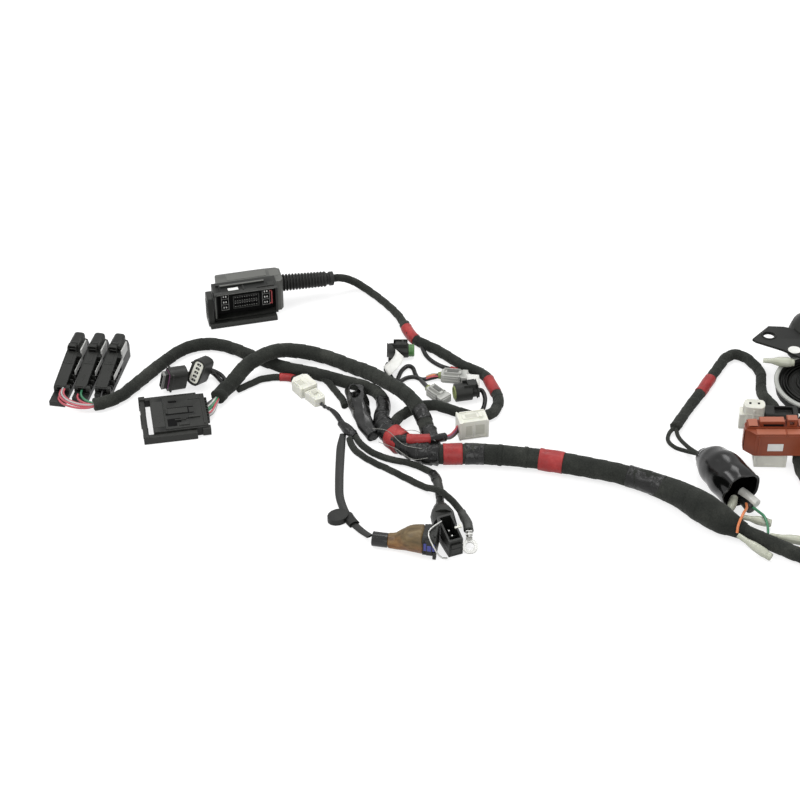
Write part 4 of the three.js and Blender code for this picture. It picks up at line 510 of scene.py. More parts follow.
beside_lead_1 = (((0.0042, 0.003, 0.0014), pink_wire, 0.0011),
                 ((-0.001, -0.0042, -0.003), pink_wire, 0.0011),
                 ((0.0022, 0.001, 0.0026), grey_wire, 0.0009))
bundled = [wire(f"relay_wire_{number + 1}", beside(relay_lead_routes[0], shift), finish, radius)
           for number, (shift, finish, radius) in enumerate(beside_lead_1)]
lead("relay_lead_1", relay_lead_routes[0], 0.0012, pink_wire, 0.056, slot="black_plastic", sides=10,
     on_it=bundled)
lead("relay_lead_2", relay_lead_routes[1], 0.0011, green_wire, 0.03, slot="black_plastic", sides=10)
wire("relay_lead_3", relay_lead_routes[2], black_wire)
wire("relay_wire_4", beside(relay_lead_routes[1], (-0.004, -0.006, -0.002)), pink_wire)
box_fan_routes = [
    [(-0.1831, -0.032, 0.0055), (-0.179, -0.028, 0.0065), (-0.1765, -0.018, 0.0074),
     (-0.1745, -0.004, 0.008)],
    [(-0.1849, -0.0226, 0.0055), (-0.181, -0.019, 0.0064), (-0.177, -0.01, 0.0076), (-0.1735, 0, 0.0082)],
    [(-0.1866, -0.0132, 0.0055), (-0.1835, -0.0105, 0.0064), (-0.178, -0.004, 0.0076),
     (-0.173, 0.004, 0.0082)],
]
fan_colours = (grey_wire, pink_wire, white_wire, green_wire, green_wire, white_wire, black_wire, black_wire)
for number, finish in enumerate(fan_colours):
    share = number / (len(fan_colours) - 1)
    lower, middle, upper = (np.array(route) for route in box_fan_routes)
    if share < 0.5:
        route = lower * (1 - 2 * share) + middle * 2 * share
    else:
        route = middle * (2 - 2 * share) + upper * (2 * share - 1)
    route[1:3, 2] += 0.0012 * math.sin(2.6 * number)
    wire(f"box_lead_{number + 1}", [tuple(p) for p in route], finish, radius=0.00125)
sealed_lead_routes = [
    [(-0.2088, 0.0258, 0.01), (-0.2074, 0.03, 0.0065), (-0.205, 0.036, 0.0034), (-0.199, 0.043, 0.0022),
     (-0.189, 0.046, 0.0022), (-0.177, 0.038, 0.0026), (-0.17, 0.024, 0.005), (-0.165, 0.015, 0.008)],
    [(-0.1904, 0.0326, 0.0124), (-0.1874, 0.0364, 0.008), (-0.182, 0.036, 0.0036), (-0.176, 0.027, 0.0032),
     (-0.169, 0.014, 0.005), (-0.166, 0.01, 0.007)],
]
for number, route in enumerate(sealed_lead_routes):
    lead(f"sealed_plug_lead_{number + 1}", route, 0.0021, glossy_tape, (0.074, 0.045)[number],
         slot="glossy_tape", sides=16)
angle_lead_route = [
    (-0.012, 0.0532, 0.004), (-0.014, 0.045, 0.003), (-0.009, 0.034, 0.0028), (-0.004, 0.021, 0.0028),
    (0.001, 0.012, 0.003), (0.007, 0.003, 0.0032),
]
angle_line = lead("angle_plug_lead", angle_lead_route, 0.0022, glossy_tape, 0.056, slot="glossy_tape",
                  sides=14)
cluster_lead_routes = [
    [(-0.004, 0.022, 0.0028), (0.002, 0.044, 0.0026), (0.008, 0.051, 0.0026), (0.012, 0.049, 0.0026),
     (0.015, 0.038, 0.0028), (0.017, 0.031, 0.003)],
    [(-0.004, 0.02, 0.0028), (0.006, 0.031, 0.0028), (0.014, 0.033, 0.0028), (0.022, 0.029, 0.0028),
     (0.031, 0.031, 0.0034), (0.039, 0.033, 0.0045)],
    [(0.02, 0.0295, 0.0024), (0.025, 0.02, 0.0026), (0.0285, 0.0135, 0.004)],
]
lead("cluster_lead_1", cluster_lead_routes[0], 0.0022, glossy_tape, 0.056, ["cluster_lead"],
     slot="glossy_tape", sides=14)
lead("cluster_lead_2", cluster_lead_routes[1], 0.0022, glossy_tape, 0.05, slot="glossy_tape", sides=14)
wire("cluster_lead_3", cluster_lead_routes[2], black_wire, radius=0.0022, sides=14)
loop_lead_routes = [
    [(0.02, 0.088, 0.0046), (0.027, 0.066, 0.003), (0.038, 0.053, 0.0026), (0.05, 0.046, 0.0026),
     (0.06, 0.042, 0.003)],
    [(0.0766, 0.0046, 0.009), (0.0794, 0.0036, 0.0086), (0.082, -0.004, 0.0064), (0.081, -0.015, 0.0046),
     (0.077, -0.028, 0.005)],
]
loop_lead_line = lead("loop_lead_1", loop_lead_routes[0], 0.0022, glossy_tape, 0.065, slot="glossy_tape",
                      sides=14)
lead("loop_lead_2", loop_lead_routes[1], 0.0022, glossy_tape, 0.036, slot="glossy_tape", sides=14)
side_plug_lead_route = [
    (0.335, -0.0492, 0.005), (0.341, -0.06, 0.0034), (0.354, -0.072, 0.003), (0.3654, -0.08, 0.004),
]
lead("twin_plug_cable", side_plug_lead_route, 0.0022, glossy_tape, 0.044, ["twin_plug_lead"],
     slot="glossy_tape", sides=14)
bullet_wire_routes = [
    [(0.313, -0.163, 0.01), (0.311, -0.178, 0.016), (0.305, -0.194, 0.023), (0.2996, -0.205, 0.019),
     (0.2984, -0.21, 0.0148)],
    [(0.316, -0.166, 0.009), (0.322, -0.178, 0.012), (0.326, -0.187, 0.0134), (0.328, -0.196, 0.01),
     (0.3278, -0.2026, 0.006)],
]
lead("orange_bullet_lead", bullet_wire_routes[0], 0.0013, orange_wire, 0.055, slot="black_plastic",
     sides=10)
lead("green_bullet_lead", bullet_wire_routes[1], 0.0013, green_wire, 0.041, slot="black_plastic", sides=10)
bullet_cord = tube("bullet_cord",
                   smooth_line([(0.308, -0.149, 0.0094), (0.312, -0.159, 0.0088), (0.317, -0.17, 0.008)]),
                   0.005, glossy_tape, sides=20)
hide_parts("bullet_connector")
box_sleeve_route = [
    (-0.004, -0.08, 0.016), (0.006, -0.086, 0.021), (0.018, -0.088, 0.0225), (0.03, -0.0855, 0.021),
    (0.042, -0.078, 0.017),
]
box_cable_line = lead("white_box_cable", box_sleeve_route, 0.0042, glossy_tape, 0.052, ["box_leads"],
                      slot="glossy_tape", lumps=0.05)
box_wire_routes = [
    [(0.04, -0.079, 0.018), (0.047, -0.071, 0.014), (0.052, -0.061, 0.012), (0.0542, -0.0549, 0.0115)],
    [(0.04, -0.079, 0.016), (0.047, -0.072, 0.011), (0.052, -0.063, 0.008), (0.0546, -0.0571, 0.007)],
]
for number, (share, finish) in enumerate(((0, pink_wire), (0.35, purple_wire), (0.7, brown_wire),
                                          (1.1, black_wire))):
    upper, lower = (np.array(route) for route in box_wire_routes)
    wire(f"white_box_wire_{number + 1}", [tuple(p) for p in upper * (1 - share) + lower * share], finish,
         radius=0.0011)


# The junction, where every branch meets: cloth under wraps of glossy tape, thick and uneven, with the loose
# threads of the cut tape ends, and a collar of the same tape where branch two comes down on it.
junction_route = [
    (-0.018, -0.04, 0.009), (-0.014, -0.056, 0.01), (-0.005, -0.072, 0.011), (0.01, -0.086, 0.0108),
    (0.024, -0.094, 0.0106), (0.0356, -0.0954, 0.0105),
]
junction_line = smooth_line(junction_route)
junction = tube("junction", junction_line, ((0, 0.0084), (0.4, 0.0096), (0.75, 0.0112), (1, 0.0102)),
                glossy_tape, lap=0.0012, lumps=0.1, seed=13.0, sides=56, pitch=0.009)
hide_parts("junction_wrap")
branch_collar_route = [(0.0265, -0.064, 0.0128), (0.0285, -0.076, 0.0124), (0.031, -0.088, 0.011)]
collar = tube("branch_collar", smooth_line(branch_collar_route), 0.0082, glossy_tape, lap=0.0006,
              lumps=0.07, seed=14.0)
thread_finish, tree, shader = new_finish("loose_thread", (0.24, 0.24, 0.22), 0.7)
raise_surface(tree, shader, (grain(tree, 3000, 1), 0.3, 0.0001))
for number, route in enumerate(([(-0.026, -0.062, 0.0145), (-0.012, -0.0735, 0.021),
                                 (0.004, -0.094, 0.0205), (0.02, -0.1, 0.021)],
                                [(-0.02, -0.078, 0.011), (-0.004, -0.092, 0.0145), (0.012, -0.105, 0.0125),
                                 (0.026, -0.106, 0.0148)],
                                [(0.004, -0.0745, 0.0222), (0.014, -0.0755, 0.0228),
                                 (0.024, -0.085, 0.0236), (0.033, -0.09, 0.0222)])):
    tube(f"loose_thread_{number + 1}", smooth_line(route), 0.00028, thread_finish, sides=6)


# Red marker tape: short bands of gloss red PVC round the sleeves, that tell the fitter what goes where.
red_tape, tree, shader = new_finish("red_tape", (0.31, 0.022, 0.022), 0.42, Specular_IOR_Level=0.36)
rub = grain(tree, 70, 4)
crease = grain(tree, 300, 2)
threads, lap = weave(tree, 24)
tree.links.new(ramp(tree, rub, (0.25, (0.2, 0.012, 0.013)), (0.55, (0.33, 0.025, 0.025)),
                    (0.8, (0.44, 0.068, 0.062))), shader.inputs["Base Color"])
tree.links.new(ramp(tree, rub, (0.3, (0.34,)), (0.7, (0.56,))), shader.inputs["Roughness"])
raise_surface(tree, shader, (threads, 0.15, 0.0001), (crease, 0.5, 0.0006), (rub, 0.5, 0.0024))


def band(name, line, start, end, radius, finish=red_tape, slot="red_tape", **form):
    """A turn of tape round a sleeve, from one distance along its line to another."""
    along = distances(line)
    stretch = line[(along >= start) & (along <= end)]
    form.setdefault("lumps", 0.03)
    form.setdefault("lap", 0.0003)
    piece = tube(name, stretch, radius, finish, rounded=False, pitch=0.02, **form)
    return piece


marker_one = band("trunk_marker_left", trunk_line, 0.0035, 0.0225, 0.0103, sides=40, seed=1.4)
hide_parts("trunk_marker_1")
marker_two = band("trunk_marker_middle", trunk_line, 0.0925, 0.1165, 0.0103, sides=40, seed=2.4)
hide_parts("trunk_marker_2")
band("white_plug_marker", white_line, 0.045, 0.0615, 0.004)
band("loop_marker_left", loop_line, 0.005, 0.029, 0.0057)
band("loop_marker_right", loop_line, 0.1255, 0.149, 0.0057)
band("junction_marker", junction_line, 0.0305, 0.0465, ((0, 0.0112), (0.5, 0.0117), (1, 0.0112)), lumps=0.1,
     lap=0.0012, seed=5.0)
band("white_box_marker", box_cable_line, 0.0135, 0.0355, 0.0049, lumps=0.05)
band("loop_lead_marker", loop_lead_line, 0.054, 0.0625, 0.003)
band("angle_plug_marker", angle_line, 0.03, 0.041, 0.0031)
band("right_branch_marker", right_line, 0.061, 0.0885, 0.0057)
band("trunk_tape_left", trunk_line, 0.0228, 0.043, 0.01, glossy_tape, "glossy_tape", lumps=0.05, sides=40)
band("trunk_tape_fold_1", trunk_line, 0.055, 0.0595, 0.0101, cloth_tape, "cloth_tape", lumps=0.03, seed=3.0,
     sides=40)
band("trunk_tape_fold_2", trunk_line, 0.0785, 0.0835, 0.0101, cloth_tape, "cloth_tape", lumps=0.03,
     seed=7.0, sides=40)
band("trunk_tape_right", trunk_line, 0.177, 0.2135, ((0, 0.0101), (0.4, 0.0101), (1, 0.0112)), glossy_tape,
     "glossy_tape", lumps=0.04, sides=40)
band("branch_one_end_tape", branch_one_line, 0.35, 0.3788, ((0, 0.0066), (1, 0.0078)), glossy_tape,
     "glossy_tape", lumps=0.09, seed=4.0)
band("branch_two_end_tape", branch_two_line, 0.2715, 0.2885, ((0, 0.0075), (1, 0.0079)), glossy_tape,
     "glossy_tape", lumps=0.04)
band("sensor_knot", sensor_line, 0.097, 0.1095, ((0, 0.0036), (0.4, 0.0048), (0.7, 0.0042), (1, 0.0048)),
     glossy_tape, "glossy_tape", lumps=0.16, seed=9.0)
shrink_sleeve, tree, shader = new_finish("shrink_sleeve", (0.03, 0.031, 0.029), 0.5, Specular_IOR_Level=0.35)
dust = grain(tree, 130, 4)
tree.links.new(ramp(tree, dust, (0.3, (0.018, 0.019, 0.017)), (0.7, (0.05, 0.052, 0.047))),
               shader.inputs["Base Color"])
raise_surface(tree, shader, (dust, 0.3, 0.0008))
band("sensor_sleeve", sensor_line, 0.1085, 0.1348, ((0, 0.0042), (0.6, 0.0042), (1, 0.0036)), shrink_sleeve,
     "black_rubber")
band("earth_sleeve", earth_line, 0.155, 0.1838, ((0, 0.0037), (0.4, 0.0042), (1, 0.0042)), shrink_sleeve,
     "black_rubber", lumps=0.1)


# Three relay and fuse plugs stand side by side at the left end. Moulded black glass filled plastic with a
# fine spark texture, scuffed paler along the corners; each has a smooth sloping plate, a ribbed channel
# beside it, a latch block in its nose, and a rubbed grey side.
def moulded(name, colour, roughness, scuff, **sockets):
    material, tree, shader = new_finish(name, colour, roughness, **sockets)
    sparks = grain(tree, 1800, 2)
    dust = grain(tree, 55, 5)
    point = add_node(tree, "ShaderNodeNewGeometry").outputs["Pointiness"]
    corner = ramp(tree, calc(tree, "ADD", point, calc(tree, "MULTIPLY", dust, 0.04)), (0.53, (0.0,)),
                  (0.57, (0.6,)))
    base = ramp(tree, dust, (0.3, tuple(0.75 * c for c in colour)), (0.6, colour), (0.85, scuff))
    tone = add_node(tree, "ShaderNodeMix", {"Factor": corner, 6: base, 7: (*scuff, 1)}, data_type="RGBA")
    tree.links.new(tone.outputs[2], shader.inputs["Base Color"])
    tree.links.new(ramp(tree, dust, (0.3, (roughness - 0.08,)), (0.75, (roughness + 0.14,))),
                   shader.inputs["Roughness"])
    raise_surface(tree, shader, (sparks, 0.25, 0.00015), (dust, 0.12, 0.001))
    return material


def ease_corners(piece, edge, segments=2):
    """Rounds the corners as a mould does, and shades the flats flat and the rounds smooth."""
    if edge:
        ease = piece.modifiers.new("ease", "BEVEL")
        ease.width = edge
        ease.segments = segments
        ease.limit_method = "ANGLE"
        ease.angle_limit = math.radians(35)
    piece.data.polygons.foreach_set("use_smooth", [True] * len(piece.data.polygons))
    piece.modifiers.new("normals", "WEIGHTED_NORMAL").keep_sharp = True


def dress(node, finish, edge=0.0004, segments=2):
    """Gives a solid its finish and eases its corners. The solid's own mesh isn't changed."""
    solid = solids[node]
    solid.data.materials.clear()
    solid.data.materials.append(finish)
    solid.modifiers.new("weld", "WELD").merge_threshold = 0.00002
    flat = solid.modifiers.new("flat", "DECIMATE")
    flat.decimate_type = "DISSOLVE"
    flat.angle_limit = math.radians(1.5)
    ease_corners(solid, edge, segments)
    return solid


def stand(place, heading, pitch=0, roll=0):
    """A connector's own frame on the bench: its X ahead after the heading, pitch and roll, in degrees."""
    return (Matrix.Translation(Vector(place) + bench_middle) @ Matrix.Rotation(math.radians(heading), 4, "Z")
            @ Matrix.Rotation(-math.radians(pitch), 4, "Y") @ Matrix.Rotation(math.radians(roll), 4, "X"))


def slabs(name, where, finish, boxes, edge=0.0002, body="harness", segments=2):
    """Small moulded details as one mesh: boxes between two corners, in millimetres of a connector's frame."""
    points, faces = [], []
    for low, high in boxes:
        first = len(points)
        points += [where @ (Vector((x, y, z)) * 0.001) for x in (low[0], high[0]) for y in (low[1], high[1])
                   for z in (low[2], high[2])]
        faces += [tuple(first + corner for corner in face) for face in
                  ((0, 1, 3, 2), (4, 6, 7, 5), (0, 4, 5, 1), (2, 3, 7, 6), (0, 2, 6, 4), (1, 5, 7, 3))]
    piece = put_mesh(name, points, faces, finish, body)
    ease_corners(piece, edge, segments)
    return piece


def turned(name, where, finish, profile, axis="X", sides=40, closed=False, body="harness"):
    """A turned piece: (distance along the axis, radius) pairs in millimetres, from one end to the other."""
    points, faces = [], []
    for along, radius in profile:
        for j in range(sides):
            angle = 2 * math.pi * j / sides
            a, b = radius * math.cos(angle), radius * math.sin(angle)
            points.append(where @ (Vector((along, a, b) if axis == "X" else (a, b, along)) * 0.001))
    count = len(profile)
    for i in range(count if closed else count - 1):
        k = (i + 1) % count
        for j in range(sides):
            m = (j + 1) % sides
            faces.append((i * sides + j, i * sides + m, k * sides + m, k * sides + j))
    if not closed:
        faces.append(tuple(range(sides - 1, -1, -1)))
        faces.append(tuple((count - 1) * sides + j for j in range(sides)))
    piece = put_mesh(name, points, faces, finish, body)
    ease_corners(piece, 0)
    return piece


black_plastic = moulded("black_plastic", (0.007, 0.0075, 0.0066), 0.42, (0.034, 0.035, 0.032),
                        Specular_IOR_Level=0.24)
smooth_plastic = moulded("smooth_plastic", (0.009, 0.0095, 0.0084), 0.3, (0.034, 0.035, 0.032),
                         Specular_IOR_Level=0.28)
# A near-black finish that is laid as painted shade in slots, holes, channels and cavities.
painted_hollow_shade = moulded("painted_hollow_shade", (0.002, 0.002, 0.002), 0.8, (0.004, 0.004, 0.004),
                      Specular_IOR_Level=0.1)
rubbed_side = moulded("rubbed_side", (0.34, 0.35, 0.33), 0.34, (0.62, 0.62, 0.6), Specular_IOR_Level=0.6)
bright_steel = moulded("bright_steel", (0.4, 0.4, 0.385), 0.36, (0.55, 0.55, 0.53), Metallic=1.0)
relay_pitch, relay_stagger = 0.0199, 0.0024
relay_stand = stand((-0.3283, 0.0054, 0), -10)
for number in range(3):
    dress(f"relay_plug_{number + 1}", black_plastic, 0.001, 3)
    plug = relay_stand @ Matrix.Translation((relay_pitch * number, relay_stagger * number, 0))
    plate = plug @ Matrix.Translation((0, 0.001, 0.0115)) @ Matrix.Rotation(math.radians(11.4), 4, "X")
    slabs(f"relay_plate_{number + 1}", plate, smooth_plastic,
          [((-7.3, 1.5, -0.3), (3.9, 45.8, 0.5)), ((-7.5, 0.4, -0.2), (3.9, 2.4, 1.0)),
           ((-6.2, 30, 0.4), (2.6, 31.2, 1.0)), ((-7.5, 3, 0.3), (-6.7, 44, 1.0)),
           ((-3.6, 33, 0.4), (0.6, 44, 0.9))], 0.0003)
    slabs(f"relay_nose_{number + 1}", plug, black_plastic, [((-5.6, 50.2, 17), (5.6, 69, 29.6))],
          0.0034, segments=5)
    slabs(f"relay_latch_{number + 1}", plug, black_plastic,
          [((-6.2, 45.4, 20.4), (-5, 51, 27.4)), ((1.6, 45.4, 20.4), (2.8, 51, 27.4)),
           ((-5.2, 46, 23), (2, 48.6, 24.2)), ((-5.2, 46, 26), (2, 51, 27.8)),
           ((3.6, 47, 25), (5.2, 58, 29.2))], 0.0005)
    # Painted shade: near-black sheets in the latch slots and in the wire mouth.
    slabs(f"relay_hollow_shade_{number + 1}", plug, painted_hollow_shade,
          [((-4.8, 47.4, 20.4), (1.4, 47.8, 23)), ((-4.8, 47.4, 24.3), (1.4, 47.8, 25.9)),
           ((-3, 0.1, 6), (3, 0.4, 9.6))], 0)
    slabs(f"relay_ribs_{number + 1}", plug, black_plastic,
          [((4.4, 8 + 6.3 * k, 6), (7.6, 9.2 + 6.3 * k, 9.4 + 1.1 * k)) for k in range(6)])
    # Painted shade: a near-black floor and wall in the ribbed channel.
    slabs(f"relay_channel_shade_{number + 1}", plug, painted_hollow_shade,
          [((4.25, 4.2, 5.9), (7.75, 40.8, 6.3)), ((4.0, 4.2, 6), (4.3, 40.8, 11))], 0)
    slabs(f"relay_side_{number + 1}", plug, rubbed_side,
          [((7.5, 21 - 6 * (number == 2), 11), (8.1, 46, 16.5)), ((6.7, 45, 14), (8.15, 62, 24.6))],
          0.0004)


# Two flat sealed plugs on edge beside the box connector. The four way one holds a grey insert with its purple
# seal, the five way one a white face in a black oval shell, on two sleeved leads.
grey_plastic = moulded("grey_plastic", (0.07, 0.073, 0.067), 0.5, (0.15, 0.152, 0.14), Specular_IOR_Level=0.4)
white_nylon = moulded("white_nylon", (0.74, 0.75, 0.66), 0.35, (0.78, 0.77, 0.7), Subsurface_Weight=0.2,
                      Subsurface_Radius=(0.004, 0.004, 0.003), Subsurface_Scale=0.5)
purple_seal = moulded("purple_seal", (0.14, 0.03, 0.1), 0.5, (0.2, 0.07, 0.16))
pale_insert = moulded("pale_insert", (0.16, 0.162, 0.155), 0.5, (0.24, 0.24, 0.23))
dress("four_pin_plug", black_plastic, 0.0006, 3)
dress("five_pin_plug", black_plastic, 0.0006, 3)
dress("five_pin_face", white_nylon, 0.0003)
four_pin = stand((-0.2177, 0.0168, 0.0138), 205.8, 8, 78)
slabs("four_pin_insert", four_pin, pale_insert, [((12.6, -9.9, -3.1), (15.3, 9.9, 3.1))],
      0.0005)
# Painted shade: near-black patches in the pin holes of the insert.
slabs("four_pin_hole_shades", four_pin, painted_hollow_shade,
      [((15.2, 4.2 * k - 8, -2), (15.5, 4.2 * k - 4.6, 2.2)) for k in range(4)], 0)
slabs("four_pin_seal", four_pin, purple_seal,
      [((7.6, -10.4, 1), (11, 2, 5.2)), ((7.6, -10.4, -5), (9.2, 10.4, 5))], 0.001)
slabs("four_pin_latch", four_pin, black_plastic,
      [((-6, -6.5, 6.6), (7, -5.2, 9.8)), ((-6, 5.2, 6.6), (7, 6.5, 9.8)), ((-9.2, -10, -3), (-7, 10, 3)),
       ((5.5, -11.6, -7.2), (7.5, 11.6, 7.2))], 0.0004)
five_pin = stand((-0.1944, 0.024, 0.0174), 244.7, 22, 76)
# Painted shade: near-black patches in the pin holes of the white face.
slabs("five_pin_hole_shades", five_pin, painted_hollow_shade,
      [((8.2, 4.2 * k - 9.4, -2.1), (8.45, 4.2 * k - 7.3, 2.1)) for k in range(5)], 0)
slabs("five_pin_contacts", five_pin, bright_steel,
      [((8.3, 4.2 * k - 8.9, -0.8), (8.6, 4.2 * k - 7.9, 0.3)) for k in range(5)], 0.0001)
slabs("five_pin_latch", five_pin, black_plastic,
      [((-6, -6.5, 6.6), (7, -5.2, 9.8)), ((-6, 5.2, 6.6), (7, 6.5, 9.8)),
       ((-2, -5.2, 8.6), (0, 5.2, 9.9))], 0.0004)


# The box connector lies on its back with its U shaped locking frame half drawn out to the left. On its
# lid are the lighter front ledge, the spring tongue with a wedge behind it, and the two slots that show
# the lock.
dress("box_connector", black_plastic, 0.0005)
dress("box_connector_lock", black_plastic, 0.0006)
box_stand = stand((-0.2112, -0.032, 0), 10.4)
slabs("box_ledge", box_stand, smooth_plastic,
      [((-25.6, -19.5, 9.7), (-14.2, 19.5, 10.4)), ((-25.9, -25.4, 9.4), (-25, 25.4, 10.5)),
       ((-14.2, -24.8, 10), (-13.2, 24.8, 11.4))], 0.0003)
slabs("box_tongue", box_stand, black_plastic,
      [((-12.4, -2.6, 10.7), (8.6, 5.4, 11.7)), ((-12.6, -2.8, 11.2), (-10.8, 5.6, 12.5)),
       ((8.4, -11.4, 10.6), (19.6, -8.4, 12.2)), ((-1.5, -21.5, 10.7), (8.5, -17.5, 11.9)),
       ((10, 17, 10.7), (23, 18.2, 11.6)), ((22, -22, 10.7), (24, 22, 11.8)),
       ((-5, -13.4, 10.7), (6, -12.2, 11.9))], 0.0004)
# Painted shade: near-black sheets in the lid's slots and in the gaps round the tongue.
slabs("box_slot_shades", box_stand, painted_hollow_shade,
      [((-8.9, 15.2, 10.9), (-1.6, 17.6, 11.15)), ((-12.4, 5.6, 10.9), (8.6, 6.7, 11.12)),
       ((-12.4, -4, 10.9), (8.6, -2.9, 11.12)), ((8.6, -4, 10.9), (9.7, 6.7, 11.12)),
       ((-11.9, -21.4, 10.9), (-3.2, -10.2, 11.12)), ((-3.2, -12.2, 10.9), (8.6, -11, 11.1))],
      0)
slabs("box_wire_seats", box_stand, black_plastic,
      [((26, -11 + 4.2 * k, 1.2), (28.4, -9.4 + 4.2 * k, 9.4)) for k in range(8)], 0.0003)
slabs("box_lock_stops", box_stand, black_plastic,
      [((-36.6, 20, 0.6), (-35.6, 31, 9.2)), ((-36.8, -8, 0.6), (-35.8, 4, 8.8)),
       ((-36.2, 26.6, 7.6), (-30.4, 31.6, 9.4)), ((-31.4, -20, 0.8), (-30.75, -16, 8.6)),
       ((-31.4, 12, 0.8), (-30.75, 16, 8.6)), ((-36.4, -31.6, 7.6), (-30.6, -26.6, 9))],
      0.0004, body="box_lock")


# The control unit's plug: a black shroud round the terminal blocks, a grey hood behind it, a slide lock under
# its mouth. Tinned receptacles shine in the holes, and a red slip keeps the right column locked.
faded_label = moulded("faded_label", (0.8, 0.8, 0.77), 0.6, (0.86, 0.86, 0.84))
red_slip = moulded("red_slip", (0.42, 0.02, 0.03), 0.4, (0.5, 0.1, 0.1))
dress("ecu_shroud", black_plastic, 0.0007, 3)
# The terminal block gets the near-black finish, as painted shade deep in the cavity.
dress("ecu_terminal_block", painted_hollow_shade, 0.0002)
dress("ecu_hood", grey_plastic, 0.0012, 3)
dress("ecu_slide_lock", black_plastic, 0.0006)
ecu_stand = stand((-0.187, 0.124, 0), 14)
columns = (8.4, 50.6)
rows = (13.4, 20.0, 26.6)
slabs("ecu_receptacles", ecu_stand, bright_steel,
      [((x + 1.2, 6.4, z + 0.7), (x + 2.4, 7.4, z + 2.7)) for x in columns for z in rows]
      + [((x + 3.6, 6.4, z + 0.7), (x + 4.8, 7.4, z + 2.7)) for x in columns for z in rows],
      0.0001)
slabs("ecu_hole_rims", ecu_stand, pale_insert,
      [((x - 0.5, 5.6, z - 0.9), (x + 6.5, 6.1, z - 0.4)) for x in columns for z in rows]
      + [((x - 0.9, 5.6, 12.4), (x - 0.4, 6.1, 31)) for x in columns]
      + [((x + 6.4, 5.6, 12.4), (x + 6.9, 6.1, 31)) for x in columns], 0.0001)
slabs("ecu_middle_frame", ecu_stand, smooth_plastic,
      [((19.6, 5.6, 12.6), (46.6, 6.6, 13.6)), ((19.6, 5.6, 27.4), (46.6, 6.6, 28.4)),
       ((19.6, 5.6, 12.6), (20.6, 6.6, 28.4)), ((45.6, 5.6, 12.6), (46.6, 6.6, 28.4)),
       ((20.6, 5.8, 19.7), (45.6, 6.6, 20.7))], 0.0002)
slabs("ecu_middle_marks", ecu_stand, pale_insert,
      [((21.4 + 2.4 * k, 6.0, z), (22.8 + 2.4 * k, 6.5, z + 0.6)) for k in range(10)
       for z in (14.6, 18.6, 21.4, 25.6)], 0)
# Painted shade: near-black patches in the middle block's holes.
slabs("ecu_middle_hole_shades", ecu_stand, painted_hollow_shade,
      [((21.2 + 2.4 * k, 6.1, z), (22.9 + 2.4 * k, 6.38, z + 2.8)) for k in range(10)
       for z in (15.6, 22.4)], 0)
slabs("ecu_red_slip", ecu_stand, red_slip,
      [((58.9, 4.6, 13.6), (60.1, 6.3, 29)), ((57.3, 5.4, 13.2), (60.1, 6.3, 14.4)),
       ((57.3, 5.4, 28.2), (60.1, 6.3, 29.4))], 0.0002)
slabs("ecu_label", ecu_stand, faded_label, [((15, 4, 36.9), (25.6, 8.2, 37.1))], 0)
slabs("ecu_shroud_edges", ecu_stand, grey_plastic,
      [((0.3, -0.12, 7.5), (1.4, 0.3, 34)), ((7.6, 11, 38.2), (53, 13.2, 38.9)),
       ((2.4, -0.1, 35.1), (62.6, 0.3, 35.6))], 0.0002)
slabs("ecu_shroud_ribs", ecu_stand, black_plastic,
      [((30, 2.8, 36.8), (31.4, 10.4, 37.9)), ((44, 2.8, 36.8), (62, 4, 37.8)),
       ((56, 4, 36.8), (62, 10, 37.6)), ((-0.12, 2, 8), (0.2, 18, 12)), ((-0.12, 2, 28), (0.2, 18, 32))],
      0.0003)
slabs("ecu_hood_panel", ecu_stand, grey_plastic,
      [((17, 23, 35.7), (58, 33, 36.4)), ((61, 21, 35.6), (71, 32, 36.3)), ((73, 18, 6), (73.4, 28, 12))],
      0.0006)
slabs("ecu_slide_grip", ecu_stand, black_plastic,
      [((-7.7, 2 + 2.4 * k, 8), (-7, 3.2 + 2.4 * k, 26)) for k in range(5)]
      + [((10, -7.4, 0.6), (48, -6.8, 2.2)), ((-4, -7.3, 0.4), (4, -6.8, 4.2)),
         ((56, -7.3, 0.4), (61, -6.8, 4.2))], 0.0003, body="ecu_lock")
black_rubber = moulded("black_rubber", (0.0075, 0.0078, 0.0072), 0.5, (0.022, 0.023, 0.021),
                       Specular_IOR_Level=0.26)
dress("bellows_boot", black_rubber, 0.0003)


# The white two part plug of the side branch, in natural nylon, and the black twisted pair that leaves it.
dress("white_plug", white_nylon, 0.0006, 3)
dress("white_receptacle", white_nylon, 0.0006, 3)
white_stand = stand((-0.1, 0.024, 0), -55)
slabs("white_plug_ribs", white_stand, white_nylon,
      [((5, -8.6, 11), (16, -7.4, 12.4)), ((5, -1.2, 11), (16, 0, 12.4)), ((6, -7, 11.2), (8, -1.4, 12.6)),
       ((2, 3, 11.2), (19, 4.2, 12)), ((25.6, -5.9, 8.6), (38, -4.8, 9.8)),
       ((25.6, 3.4, 8.6), (38, 4.5, 9.8))], 0.0003)
# Painted shade: a darker copy of the nylon, laid in the recesses and the parting gap of the white plug.
nylon_painted_shade = moulded("nylon_painted_shade", (0.52, 0.52, 0.44), 0.5, (0.6, 0.6, 0.52))
slabs("white_plug_shades", white_stand, nylon_painted_shade,
      [((9, -6.6, 11.35), (15, -1.8, 11.65)), ((21.6, -7.6, 2), (22.2, 7.6, 11.9)),
       ((28, -2.4, 11), (33, 2.4, 11.25))], 0)
for number, turn in enumerate((0, math.pi)):
    stretch = receptacle_line[:14]
    side, upward = across_line(stretch)
    along = distances(stretch)[:, None]
    twist = stretch + 0.0012 * (np.cos(along * 700 + turn) * side + np.sin(along * 700 + turn) * upward)
    tube(f"twisted_pair_{number + 1}", twist, 0.0009, black_wire, sides=8, pitch=0.05)


